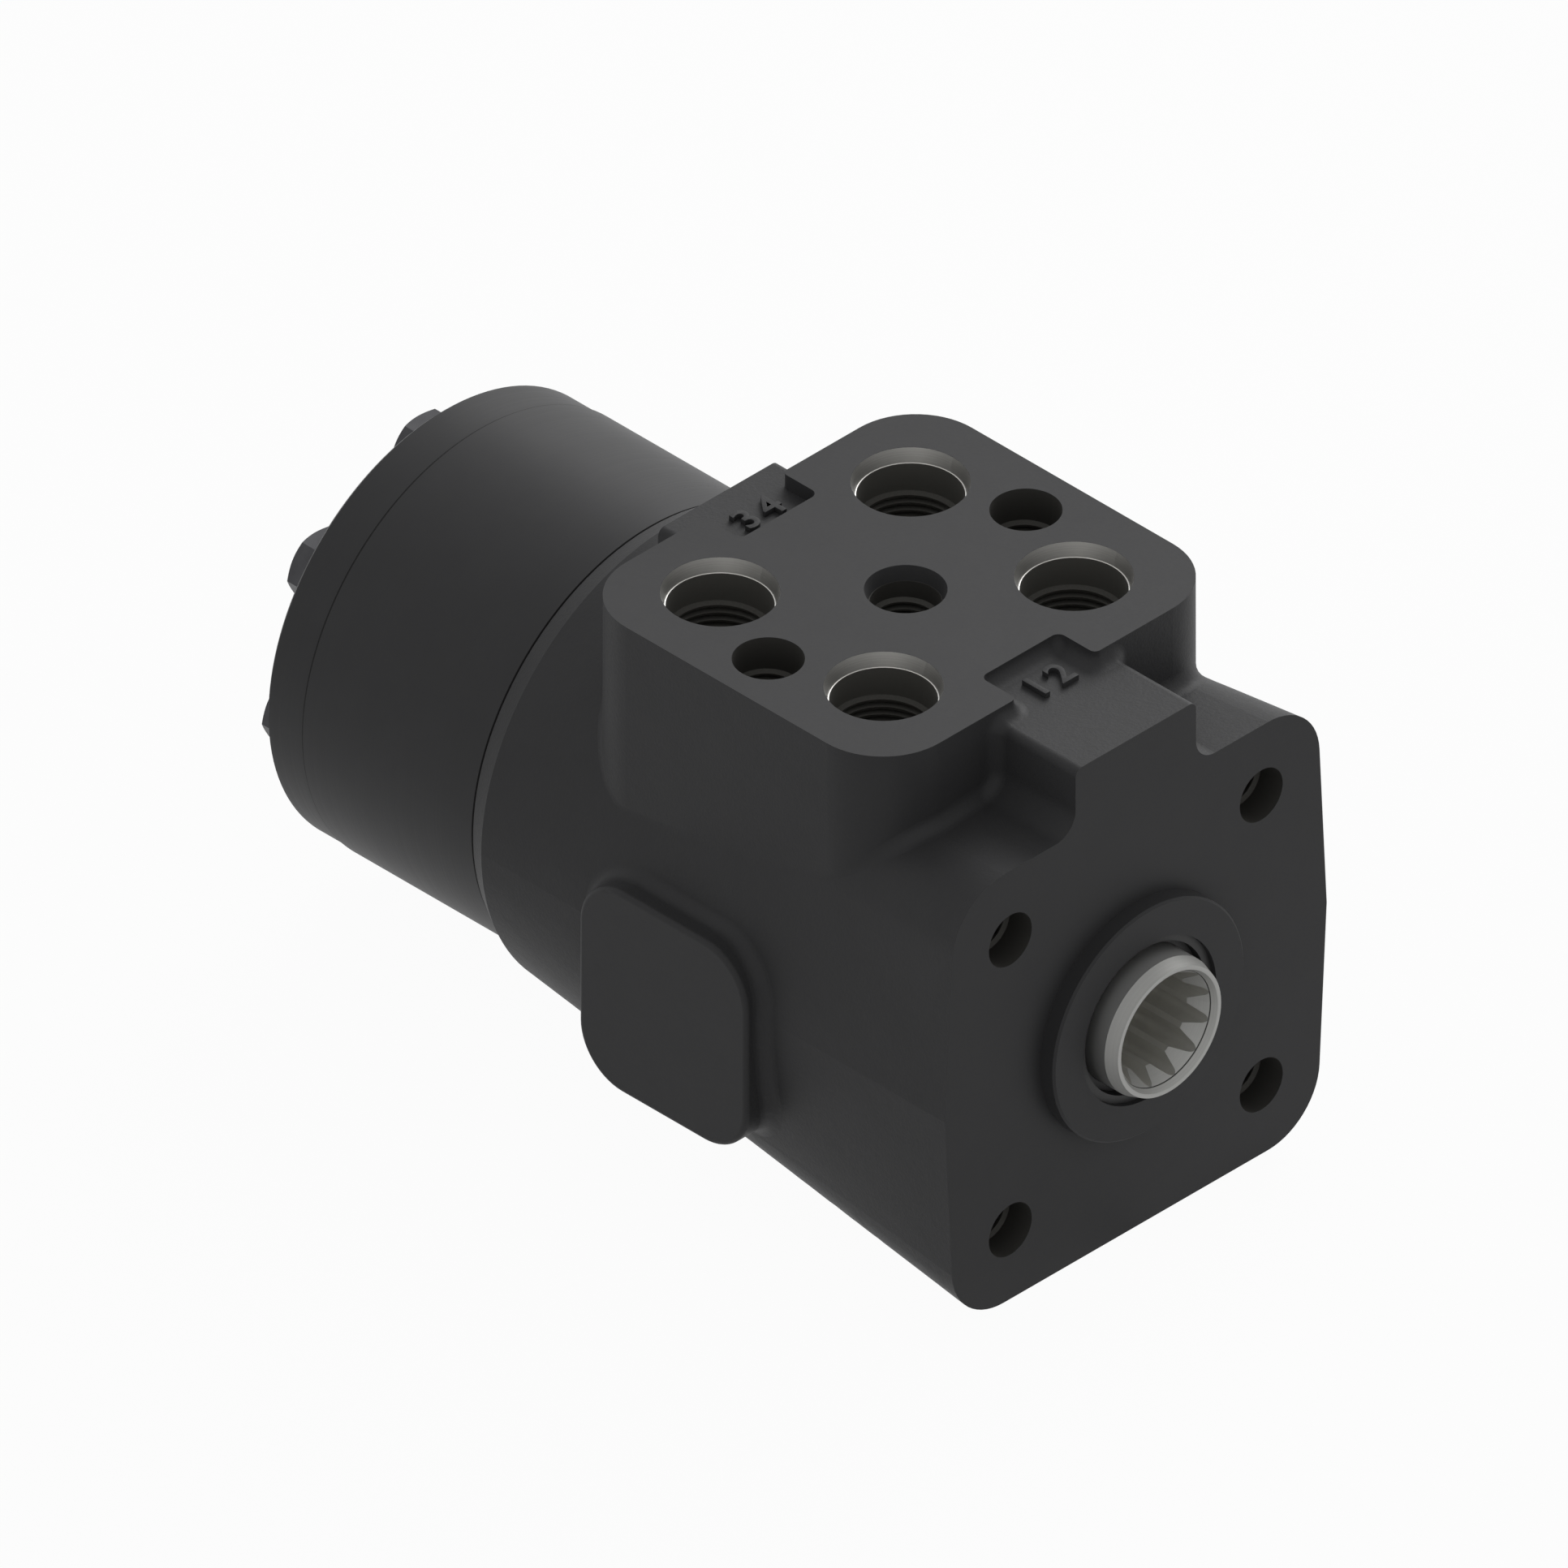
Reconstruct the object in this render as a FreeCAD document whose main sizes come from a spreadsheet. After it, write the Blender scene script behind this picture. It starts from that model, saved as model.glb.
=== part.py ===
import FreeCAD, Part
import math
import os
from types import SimpleNamespace

import Sketcher
from FreeCAD import Placement, Rotation, Vector

# Orbital steering unit with five threaded ports.
# The origin is the centre of the front mounting face, on the shaft axis.
# +X is to the right seen from the steering column, +Y runs from the
# mounting face to the end cover, and +Z points up to the port face.

SIZES = {
    # casting: flange, tapered body and port block
    "flange_spread": 0.2,
    "flange_squash": 1.1,
    "draft_angle": 3.0,
    "flange_corner_radius": 12.0,
    "rear_radius": 44.2,
    "collar_length": 4.7,
    "housing_length": 112.7,
    "joint_chamfer": 0.35,
    "rim_chamfer": 0.12,
    "block_inset": 4.0,
    "block_front_wall": 17.9,
    "block_rear_wall": 16.9,
    "block_corner_radius": 13.0,
    "port_face_height": 58.5,
    "ledge_drop": 2.8,
    "ledge_half_width": 14.0,
    "rear_ledge_length": 5.7,
    "notch_half_width": 9.1,
    "notch_depth": 8.5,
    "notch_corner_radius": 1.5,
    "notch_mouth_round": 1.2,
    "ledge_edge_round": 1.5,
    "ledge_fillet": 4.5,
    "block_fillet": 2.5,
    "pad_rise": 4.0,
    "pad_front": 42.4,
    "pad_rear": 81.4,
    "pad_top": 12.3,
    "pad_bottom": -27.9,
    "pad_corner_radius": 10.0,
    "pad_edge_round": 0.9,
    # boss and seals at the front
    "boss_radius": 22.25,
    "boss_length": 3.2,
    "boss_chamfer": 0.4,
    "dust_seal_wall": 2.75,
    "dust_seal_depth": 1.0,
    "dust_seal_width": 3.0,
    "dust_seal_gap": 1.25,
    "dust_lip_length": 1.0,
    "seal_web_length": 1.4,
    "shaft_seal_wall": 3.45,
    "shaft_seal_width": 4.0,
    "bearing_web_length": 2.5,
    "seal_lip_clearance": 0.06,
    "seal_fit": 0.03,
    "shaft_hole_clearance": 0.3,
    # main bore, galleries and passages
    "bore_radius": 19.0,
    "gallery_depth": 4.0,
    "gallery_width": 6.0,
    "passage_foot": 9.0,
    "meter_passage_radius": 2.0,
    "meter_way_inset": 4.9,
    "meter_row_inset": 20.7,
    # ports
    "port_x": 22.15,
    "port_front": 36.5,
    "port_rear": 74.5,
    "port_thread_radius": 9.0,
    "port_depth": 14.5,
    "port_cone_rise": 0.9,
    "port_cone_depth": 2.6,
    "port_seat_step": 0.15,
    "centre_port_setback": 2.0,
    "centre_thread_radius": 6.0,
    "centre_port_depth": 12.0,
    "pilot_hole_radius": 1.6,
    "valve_hole_inset": 10.25,
    "valve_hole_radius": 6.05,
    "valve_hole_depth": 22.0,
    "drill_point_angle": 59.0,
    "column_hole_pitch": 58.34,
    "column_hole_radius": 5.0,
    "column_hole_depth": 18.0,
    # gear set and end cover
    "plate_thickness": 6.8,
    "plate_bore_radius": 11.0,
    "plate_hole_radius": 2.4,
    "ring_width": 33.0,
    "ring_outer_radius": 41.4,
    "lobe_inset": 1.05,
    "lobe_radius": 7.5,
    "eccentricity": 2.5,
    "valley_clearance": 0.15,
    "gear_clearance": 0.05,
    "star_side_clearance": 0.05,
    "star_teeth": 6,
    "cover_step": 0.25,
    "cover_thickness": 8.6,
    "cover_chamfer": 0.6,
    # cover bolts
    "bolt_inset": 10.85,
    "bolt_radius": 4.0,
    "bolt_length": 66.0,
    "bolt_hole_clearance": 0.3,
    "thread_clearance": 0.06,
    "hex_across_flats": 12.1,
    "hex_height": 5.0,
    "hex_chamfer_angle": 30.0,
    "washer_radius": 7.3,
    "washer_thickness": 0.9,
    # face seals
    "o_ring_inset": 4.1,
    "o_ring_width": 2.1,
    "o_ring_depth": 1.4,
    "o_ring_corner": 0.45,
    "o_ring_clearance": 0.05,
    # thrust bearing
    "bore_clearance": 0.3,
    "race_bore_clearance": 0.45,
    "race_thickness": 1.6,
    "needle_radius": 1.0,
    "needle_margin": 0.85,
    "needle_count": 16,
    "cage_clearance": 0.35,
    "cage_thickness": 1.2,
    "bearing_gap": 0.03,
    # spool
    "stub_radius": 12.75,
    "stub_reach": 7.85,
    "nose_length": 2.39,
    "nose_drop": 0.75,
    "rim_width": 0.75,
    "lead_in_length": 4.75,
    "spline_teeth": 12,
    "spline_pitch_radius": 9.525,
    "spline_major_radius": 10.6,
    "spline_minor_radius": 8.8,
    "spline_space": 2.49,
    "spline_flank_angle": 30.0,
    "spline_phase": 12.5,
    "spline_depth": 16.0,
    "spool_setback": 1.2,
    "spool_end_gap": 4.7,
    "spool_bore": 10.5,
    "spool_web_front": 14.0,
    "spool_web_rear": 19.0,
    "spool_groove_width": 3.0,
    "spool_groove_depth": 1.2,
    "spool_groove_run": 3.0,
    # sleeve
    "sleeve_wall": 4.17,
    "spool_clearance": 0.06,
    "sleeve_clearance": 0.05,
    "sleeve_end_gap": 0.2,
    "sleeve_hole_radius": 1.7,
    "meter_hole_radius": 1.5,
    "sleeve_groove_depth": 1.0,
    "sleeve_groove_width": 4.0,
    # cross pin
    "pin_y": 43.0,
    "pin_radius": 3.0,
    "pin_end_gap": 0.4,
    "pin_fit": 0.04,
    "pin_swing_clearance": 2.4,
    # centring springs
    "spring_slot_front": 20.0,
    "spring_slot_width": 11.0,
    "spring_slot_half": 2.5,
    "spring_side_gap": 0.1,
    "leaf_gap": 0.02,
    "flat_spring_thickness": 0.5,
    "bowed_spring_thickness": 0.4,
    "bowed_spring_rise": 1.1,
    "spring_end_gap": 0.45,
    "spring_ring_depth": 2.15,
    "spring_ring_gap": 0.15,
    # drive shaft
    "fork_clearance": 1.0,
    "fork_nose": 8.0,
    "fork_length": 25.0,
    "fork_pin_clearance": 0.4,
    "fork_slot_depth": 15.0,
    "shank_radius": 7.0,
    "shank_chamfer": 2.0,
    "drive_head_length": 20.0,
    "drive_major_radius": 11.9,
    "drive_minor_radius": 10.0,
    "drive_crown": 0.5,
    "drive_pitch_radius": 11.0,
    "drive_tooth": 2.0,
    "drive_tooth_clearance": 1.15,
    "drive_tip_clearance": 0.45,
    "drive_root_clearance": 0.5,
    "spacer_clearance": 0.4,
    "spacer_gap": 0.35,
    # check valve in the pump port and its stop
    "check_ball_radius": 4.25,
    "check_travel": 1.5,
    "check_clearance": 0.35,
    "stop_pin_radius": 2.5,
    "stop_pin_reach": 5.0,
    "stop_pin_clearance": 0.05,
    "stop_pin_gap": 0.2,
    "seat_radius": 6.0,
    "seat_bore": 3.0,
    "seat_height": 6.0,
    "seat_fit": 0.02,
    # throttle screw in the centre port
    "throttle_radius": 2.9,
    "throttle_height": 5.0,
    "throttle_bore": 0.8,
    "throttle_slot": 0.8,
    "throttle_seat_depth": 6.0,
}

doc = FreeCAD.newDocument("OrbitalSteeringUnit")
sheet = doc.addObject("Spreadsheet::Sheet", "Sizes")
for row, (alias, number) in enumerate(SIZES.items(), start=1):
    sheet.set("A%d" % row, alias)
    sheet.set("B%d" % row, str(number))
    sheet.setAlias("B%d" % row, alias)
doc.recompute()


class Measure:
    """A size that carries its number and the sheet expression that drives it."""

    def __init__(self, number, text):
        self.number = float(number)
        self.text = text

    def __add__(self, other):
        other = as_measure(other)
        return Measure(self.number + other.number, "(%s + %s)" % (self.text, other.text))

    def __sub__(self, other):
        other = as_measure(other)
        return Measure(self.number - other.number, "(%s - %s)" % (self.text, other.text))

    def __mul__(self, other):
        other = as_measure(other)
        return Measure(self.number * other.number, "(%s * %s)" % (self.text, other.text))

    def __truediv__(self, other):
        other = as_measure(other)
        return Measure(self.number / other.number, "(%s / %s)" % (self.text, other.text))

    def __neg__(self):
        return Measure(-self.number, "(0 - %s)" % self.text)


def as_measure(value):
    return value if isinstance(value, Measure) else Measure(value, repr(float(value)))


def sine(angle):
    return Measure(math.sin(math.radians(angle.number)), "sin(%s)" % angle.text)


def cosine(angle):
    return Measure(math.cos(math.radians(angle.number)), "cos(%s)" % angle.text)


def tangent(angle):
    return Measure(math.tan(math.radians(angle.number)), "tan(%s)" % angle.text)


def root(value):
    return Measure(math.sqrt(value.number), "sqrt(%s)" % value.text)


def hypotenuse(x, y):
    return root(x * x + y * y)


S = SimpleNamespace(**{name: Measure(sheet.get(name), "Sizes.%s" % name) for name in SIZES})
ZERO = as_measure(0)


def bind(item, **properties):
    """Tie properties to sheet expressions; a dot in a name is written as two underscores."""
    for name, value in properties.items():
        item.setExpression(name.replace("__", "."), as_measure(value).text)


# Sketches and part design features


def new_body(label):
    body = doc.addObject("PartDesign::Body", label)
    body.Label = label
    return body


def origin_part(body, role):
    return [part for part in body.Origin.OriginFeatures if part.Role == role][0]


def sketch_on(body, name, role, offset=None):
    """A sketch on one of the body's own planes, moved along the plane's normal by offset."""
    sketch = body.newObject("Sketcher::SketchObject", name)
    sketch.AttachmentSupport = [(origin_part(body, role), "")]
    sketch.MapMode = "FlatFace"
    if offset is not None:
        sketch.setExpression("AttachmentOffset.Base.z", as_measure(offset).text)
    return sketch


def place_point(sketch, geometry, end, x, y):
    """Fix one point of the sketch by its two distances from the origin."""
    for kind, value in (("DistanceX", x), ("DistanceY", y)):
        value = as_measure(value)
        index = sketch.addConstraint(Sketcher.Constraint(kind, -1, 1, geometry, end, value.number))
        sketch.setExpression("Constraints[%d]" % index, value.text)


def arc_between(start, end, radius):
    """Short arc from start to end, to the left for a positive radius and to the right otherwise."""
    chord = end - start
    rise = math.sqrt(max(radius * radius - chord.Length * chord.Length / 4.0, 0.0))
    side = Vector(-chord.y, chord.x, 0).normalize() * math.copysign(rise, radius)
    centre = (start + end) * 0.5 + side
    first, last = (start, end) if radius > 0 else (end, start)
    angles = [math.atan2(point.y - centre.y, point.x - centre.x) for point in (first, last)]
    return Part.ArcOfCircle(Part.Circle(centre, Vector(0, 0, 1), abs(radius)), *angles)


def draw(sketch, corners):
    """Closed outline through corners (x, y); (x, y, radius) leads on to the next one by an arc."""
    corners = [tuple(as_measure(value) for value in corner) for corner in corners]
    points = [Vector(corner[0].number, corner[1].number, 0) for corner in corners]
    pieces = []
    for index, corner in enumerate(corners):
        start, end = points[index], points[(index + 1) % len(points)]
        if len(corner) == 3:
            geometry = sketch.addGeometry(arc_between(start, end, corner[2].number), False)
            forward = corner[2].number > 0
            pieces.append((geometry, 1 if forward else 2, 2 if forward else 1))
            width = corner[2] if forward else -corner[2]
            number = sketch.addConstraint(Sketcher.Constraint("Radius", geometry, width.number))
            sketch.setExpression("Constraints[%d]" % number, width.text)
        else:
            geometry = sketch.addGeometry(Part.LineSegment(start, end), False)
            pieces.append((geometry, 1, 2))
    for index, (geometry, begin, finish) in enumerate(pieces):
        following, following_begin, _ = pieces[(index + 1) % len(pieces)]
        joint = Sketcher.Constraint("Coincident", geometry, finish, following, following_begin)
        sketch.addConstraint(joint)
        place_point(sketch, geometry, begin, corners[index][0], corners[index][1])


def draw_circle(sketch, x, y, radius):
    x, y, radius = as_measure(x), as_measure(y), as_measure(radius)
    circle = Part.Circle(Vector(x.number, y.number, 0), Vector(0, 0, 1), radius.number)
    geometry = sketch.addGeometry(circle, False)
    number = sketch.addConstraint(Sketcher.Constraint("Radius", geometry, radius.number))
    sketch.setExpression("Constraints[%d]" % number, radius.text)
    place_point(sketch, geometry, 3, x, y)


def draw_axis(sketch, x, y, x_end, y_end):
    """Construction line that a revolved feature turns about."""
    ends = [tuple(as_measure(value) for value in end) for end in ((x, y), (x_end, y_end))]
    points = [Vector(end[0].number, end[1].number, 0) for end in ends]
    geometry = sketch.addGeometry(Part.LineSegment(*points), True)
    for position, end in enumerate(ends, start=1):
        place_point(sketch, geometry, position, *end)


def rectangle(x_low, x_high, y_low, y_high):
    return [(x_low, y_low), (x_high, y_low), (x_high, y_high), (x_low, y_high)]


def rounded_rectangle(x_low, x_high, y_low, y_high, radius):
    return [
        (x_low + radius, y_low), (x_high - radius, y_low, radius),
        (x_high, y_low + radius), (x_high, y_high - radius, radius),
        (x_high - radius, y_high), (x_low + radius, y_high, radius),
        (x_low, y_high - radius), (x_low, y_low + radius, radius),
    ]


def turned(x, y, angle):
    """Point (x, y) turned about the sketch origin."""
    return x * cosine(angle) - y * sine(angle), x * sine(angle) + y * cosine(angle)


def pad(body, name, sketch, length, reverse=False):
    feature = body.newObject("PartDesign::Pad", name)
    feature.Profile = sketch
    feature.Reversed = reverse
    bind(feature, Length=length)
    return feature


def pocket(body, name, sketch, length=None, reverse=False):
    """Cut along the sketch's normal, away from it or against it; no length cuts right through."""
    feature = body.newObject("PartDesign::Pocket", name)
    feature.Profile = sketch
    feature.Reversed = reverse
    if length is None:
        feature.Type = "ThroughAll"
    else:
        bind(feature, Length=length)
    return feature


def turn_about(body, kind, name, sketch, axis="V_Axis"):
    feature = body.newObject("PartDesign::%s" % kind, name)
    feature.Profile = sketch
    feature.ReferenceAxis = (sketch, [axis])
    feature.Angle = 360
    return feature


def ring_pattern(body, name, feature, count):
    """Repeat a feature evenly about the shaft axis."""
    pattern = body.newObject("PartDesign::PolarPattern", name)
    pattern.Originals = [feature]
    pattern.Axis = (origin_part(body, "Y_Axis"), [""])
    pattern.Angle = 360
    bind(pattern, Occurrences=count)
    body.Tip = pattern
    return pattern


def round_piece(label, profile):
    """A piece turned about the shaft axis; the profile holds (radius, y) points."""
    body = new_body(label)
    sketch = sketch_on(body, "%s_profile" % label, "XY_Plane")
    draw(sketch, profile)
    turn_about(body, "Revolution", "%s_turned" % label, sketch)
    return body


def tube_profile(inner, outer, front, rear):
    return [(inner, front), (outer, front), (outer, rear), (inner, rear)]


# Places that several pieces share: casting and ports

FLANGE_HALF_WIDTH = S.rear_radius + S.flange_spread
FLANGE_HALF_HEIGHT = S.rear_radius - S.flange_squash
TAPER_END = S.housing_length - S.collar_length
BLOCK_HALF = S.rear_radius - S.block_inset
BLOCK_FRONT = S.port_front - S.block_front_wall
BLOCK_REAR = S.port_rear + S.block_rear_wall
LEDGE_HEIGHT = S.port_face_height - S.ledge_drop
LEDGE_REAR = BLOCK_REAR + S.rear_ledge_length
PAD_FACE = S.rear_radius + S.pad_rise
PORT_MIDDLE = (S.port_front + S.port_rear) / 2
CENTRE_PORT_Y = PORT_MIDDLE - S.centre_port_setback
VALVE_HOLE_X = BLOCK_HALF - S.valve_hole_inset
GALLERY_STEP = (S.port_rear - S.port_front) / 3
GALLERY_T = S.port_front
GALLERY_L = GALLERY_T + GALLERY_STEP
GALLERY_R = GALLERY_L + GALLERY_STEP
GALLERY_P = S.port_rear
METER_ROW = S.housing_length - S.meter_row_inset
PASSAGE_RADIUS = S.check_ball_radius + S.check_clearance

# Places along the shaft axis

LOBES = S.star_teeth + 1
LOBE_STEP = as_measure(360) / LOBES
PLATE_REAR = S.housing_length + S.plate_thickness
RING_REAR = PLATE_REAR + S.ring_width
COVER_REAR = RING_REAR + S.cover_thickness
HEAD_SEAT = COVER_REAR + S.washer_thickness
BOLT_END = HEAD_SEAT - S.bolt_length
BOSS_FACE = -S.boss_length
DUST_SEAL_FRONT = BOSS_FACE + S.dust_seal_depth
DUST_SEAL_REAR = DUST_SEAL_FRONT + S.dust_seal_width
SHAFT_SEAL_FRONT = DUST_SEAL_REAR + S.seal_web_length
SHAFT_SEAL_REAR = SHAFT_SEAL_FRONT + S.shaft_seal_width
BORE_FRONT = SHAFT_SEAL_REAR + S.bearing_web_length
OUTER_RACE_FRONT = BORE_FRONT + S.bearing_gap
NEEDLE_MIDDLE = OUTER_RACE_FRONT + S.race_thickness + S.bearing_gap + S.needle_radius
INNER_RACE_FRONT = NEEDLE_MIDDLE + S.needle_radius + S.bearing_gap
SLEEVE_FRONT = INNER_RACE_FRONT + S.race_thickness + S.bearing_gap
STUB_END = -S.stub_reach
SPOOL_END = S.housing_length - S.spool_end_gap
SPRING_SLOT_REAR = S.spring_slot_front + S.spring_slot_width
STAR_MIDDLE = PLATE_REAR + S.ring_width / 2
FORK_FRONT = S.pin_y - S.fork_nose
STOP_PIN_FRONT = S.port_rear - S.stop_pin_reach

# Radii that follow from the piece they fit

BOLT_CIRCLE = S.ring_outer_radius - S.bolt_inset
LOBE_CIRCLE = BOLT_CIRCLE - S.lobe_inset
METER_CIRCLE = LOBE_CIRCLE - S.meter_way_inset
COVER_RADIUS = S.ring_outer_radius - S.cover_step
VALLEY_RADIUS = LOBE_CIRCLE - S.lobe_radius + S.eccentricity * 2 + S.valley_clearance
SEAL_CIRCLE = S.ring_outer_radius - S.o_ring_inset
SEAL_LOW = SEAL_CIRCLE - S.o_ring_width / 2
SEAL_HIGH = SEAL_CIRCLE + S.o_ring_width / 2
GALLERY_RADIUS = S.bore_radius + S.gallery_depth
SHAFT_HOLE = S.stub_radius + S.shaft_hole_clearance
DUST_SEAL_RADIUS = S.stub_radius + S.dust_seal_wall
SHAFT_SEAL_RADIUS = S.stub_radius + S.shaft_seal_wall
SEAL_LIP = S.stub_radius + S.seal_lip_clearance
RACE_BORE = S.stub_radius + S.race_bore_clearance
RACE_RADIUS = S.bore_radius - S.bore_clearance
NEEDLE_CIRCLE = (RACE_BORE + RACE_RADIUS) / 2
NEEDLE_LENGTH = RACE_RADIUS - RACE_BORE - S.needle_margin * 2
STUB_TIP = S.stub_radius - S.nose_drop
SLEEVE_RADIUS = S.bore_radius - S.sleeve_clearance
SLEEVE_BORE = SLEEVE_RADIUS - S.sleeve_wall
SPOOL_RADIUS = SLEEVE_BORE - S.spool_clearance
SPRING_RING_BORE = S.bore_radius - S.spring_ring_depth
FORK_RADIUS = S.spool_bore - S.fork_clearance
STAR_MAJOR = S.drive_major_radius + S.drive_tip_clearance
STAR_MINOR = S.drive_minor_radius + S.drive_root_clearance


# Housing casting


def flange_outline():
    """Front outline: flat top and bottom, sides that lean in by the draft angle from mid height."""
    lean, radius = S.draft_angle, S.flange_corner_radius
    corner_x = FLANGE_HALF_WIDTH - FLANGE_HALF_HEIGHT * tangent(lean)
    reach = radius / tangent((as_measure(90) + lean) / 2)
    top_x, top_y = corner_x - reach, FLANGE_HALF_HEIGHT
    side_x, side_y = corner_x + reach * sine(lean), FLANGE_HALF_HEIGHT - reach * cosine(lean)
    middle = FLANGE_HALF_WIDTH
    return [
        (middle, ZERO), (side_x, side_y, radius), (top_x, top_y), (-top_x, top_y, radius),
        (-side_x, side_y), (-middle, ZERO), (-side_x, -side_y, radius), (-top_x, -top_y),
        (top_x, -top_y, radius), (side_x, -side_y),
    ]


def rear_outline(flange):
    """The rear circle, cut into arcs that answer the flange outline edge by edge."""
    outline = []
    for corner in flange:
        length = hypotenuse(corner[0], corner[1])
        x, y = corner[0] * S.rear_radius / length, corner[1] * S.rear_radius / length
        outline.append((x, y, S.rear_radius))
    return outline


def edges_where(feature, test):
    """Names of the edges whose middle and ends pass the test."""
    names = []
    for number, edge in enumerate(feature.Shape.Edges, start=1):
        points = [vertex.Point for vertex in edge.Vertexes]
        points.append(edge.valueAt((edge.FirstParameter + edge.LastParameter) / 2))
        if all(test(point) for point in points):
            names.append("Edge%d" % number)
    return names


def round_edges(body, name, base, test, radius):
    doc.recompute()
    fillet = body.newObject("PartDesign::Fillet", name)
    fillet.Base = (base, edges_where(base, test))
    bind(fillet, Radius=radius)
    return fillet


def make_casting():
    body = new_body("housing_casting")
    front = sketch_on(body, "flange_outline", "XZ_Plane")
    flange = flange_outline()
    draw(front, flange)
    rear = sketch_on(body, "rear_outline", "XZ_Plane", -TAPER_END)
    draw(rear, rear_outline(flange))
    taper = body.newObject("PartDesign::AdditiveLoft", "tapered_body")
    taper.Profile = front
    taper.Sections = [rear]
    taper.Ruled = True

    collar = sketch_on(body, "rear_collar_profile", "XY_Plane")
    draw(collar, [
        (ZERO, TAPER_END), (S.rear_radius, TAPER_END),
        (S.ring_outer_radius + S.joint_chamfer, S.housing_length - S.joint_chamfer),
        (S.ring_outer_radius, S.housing_length), (ZERO, S.housing_length),
    ])
    turn_about(body, "Revolution", "rear_collar", collar)

    block = sketch_on(body, "port_block_outline", "XY_Plane")
    draw(block, rounded_rectangle(
        -BLOCK_HALF, BLOCK_HALF, BLOCK_FRONT, BLOCK_REAR, S.block_corner_radius))
    pad(body, "port_block", block, S.port_face_height)

    ledge = sketch_on(body, "ledge_profile", "XZ_Plane", -LEDGE_REAR)
    side, turn = S.ledge_half_width, S.ledge_edge_round
    draw(ledge, [
        (-side, ZERO), (side, ZERO), (side, LEDGE_HEIGHT - turn, turn),
        (side - turn, LEDGE_HEIGHT), (turn - side, LEDGE_HEIGHT, turn), (-side, LEDGE_HEIGHT - turn),
    ])
    pad(body, "ledges", ledge, LEDGE_REAR)

    plate_pad = sketch_on(body, "side_pad_outline", "YZ_Plane", -PAD_FACE)
    draw(plate_pad, rounded_rectangle(
        S.pad_front, S.pad_rear, S.pad_bottom, S.pad_top, S.pad_corner_radius))
    side_pad = pad(body, "side_pad", plate_pad, PAD_FACE - S.bore_radius * 1.5)

    boss = sketch_on(body, "boss_profile", "XY_Plane")
    draw(boss, [
        (ZERO, BOSS_FACE), (S.boss_radius - S.boss_chamfer, BOSS_FACE),
        (S.boss_radius, BOSS_FACE + S.boss_chamfer), (S.boss_radius, S.boss_chamfer),
        (ZERO, S.boss_chamfer),
    ])
    turn_about(body, "Revolution", "front_boss", boss)

    for name, low, high, inner in (
        ("front_notch", BLOCK_FRONT - S.notch_corner_radius * 3, BLOCK_FRONT + S.notch_depth, 1),
        ("rear_notch", BLOCK_REAR - S.notch_depth, BLOCK_REAR + S.notch_corner_radius * 3, -1),
    ):
        sketch = sketch_on(body, "%s_outline" % name, "XY_Plane", S.port_face_height)
        draw(sketch, rounded_rectangle(
            -S.notch_half_width, S.notch_half_width, low, high, S.notch_corner_radius))
        notch = pocket(body, name, sketch, S.port_face_height - LEDGE_HEIGHT)

    top, low, high = FLANGE_HALF_HEIGHT.number, BLOCK_FRONT.number, BLOCK_REAR.number
    ledge_side = S.ledge_half_width.number

    def on_notch_mouth(point):
        beside = abs(abs(point.x) - S.notch_half_width.number) < 0.05
        return beside and min(abs(point.y - low), abs(point.y - high)) < 0.05

    def on_pad_face(point):
        return abs(point.x + PAD_FACE.number) < 0.01

    def on_ledge_foot(point):
        beside = abs(abs(point.x) - ledge_side) < 0.1
        return beside and point.y < low + 0.1 and point.z < top + 1

    def on_block_foot(point):
        beside = abs(point.x) > ledge_side - 0.1
        return beside and low - 0.1 < point.y < high + 0.1 and S.block_fillet.number < point.z < top + 1

    shaped = notch
    for name, test, radius in (
        ("notch_mouths", on_notch_mouth, S.notch_mouth_round),
        ("pad_edge", on_pad_face, S.pad_edge_round),
        ("ledge_blend", on_ledge_foot, S.ledge_fillet),
        ("block_blend", on_block_foot, S.block_fillet),
    ):
        shaped = round_edges(body, name, shaped, test, radius)
    return body


# Machining of the housing


def drill(name, x, y, z, direction, radius, depth, point_angle=None):
    """A round cutter from (x, y, z) along an axis name, with a drill point where an angle is given."""
    turn = {"down": 180, "rear": -90, "front": 90}[direction]
    along = {"down": (0, 0, -1), "rear": (0, 1, 0), "front": (0, -1, 0)}[direction]
    hole = doc.addObject("Part::Cylinder", name)
    hole.Placement = Placement(Vector(), Rotation(Vector(1, 0, 0), turn))
    bind(hole, Radius=radius, Height=depth, Placement__Base__x=x, Placement__Base__y=y,
         Placement__Base__z=z)
    pieces = [hole]
    if point_angle is not None:
        tip = doc.addObject("Part::Cone", "%s_point" % name)
        tip.Placement = hole.Placement
        depth = as_measure(depth)
        base = [as_measure(start) + depth * step for start, step in zip((x, y, z), along)]
        bind(tip, Radius1=radius, Radius2=0, Height=as_measure(radius) / tangent(point_angle),
             Placement__Base__x=base[0], Placement__Base__y=base[1], Placement__Base__z=base[2])
        pieces.append(tip)
    return pieces


def seal_cone(name, x, y, radius):
    """The cone at the mouth of a port, widest at the port face, with a narrow step at its foot."""
    cone = doc.addObject("Part::Cone", name)
    bind(cone, Radius1=radius + S.port_seat_step, Radius2=radius + S.port_cone_rise,
         Height=S.port_cone_depth, Placement__Base__x=x, Placement__Base__y=y,
         Placement__Base__z=S.port_face_height - S.port_cone_depth)
    return [cone]


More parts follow.
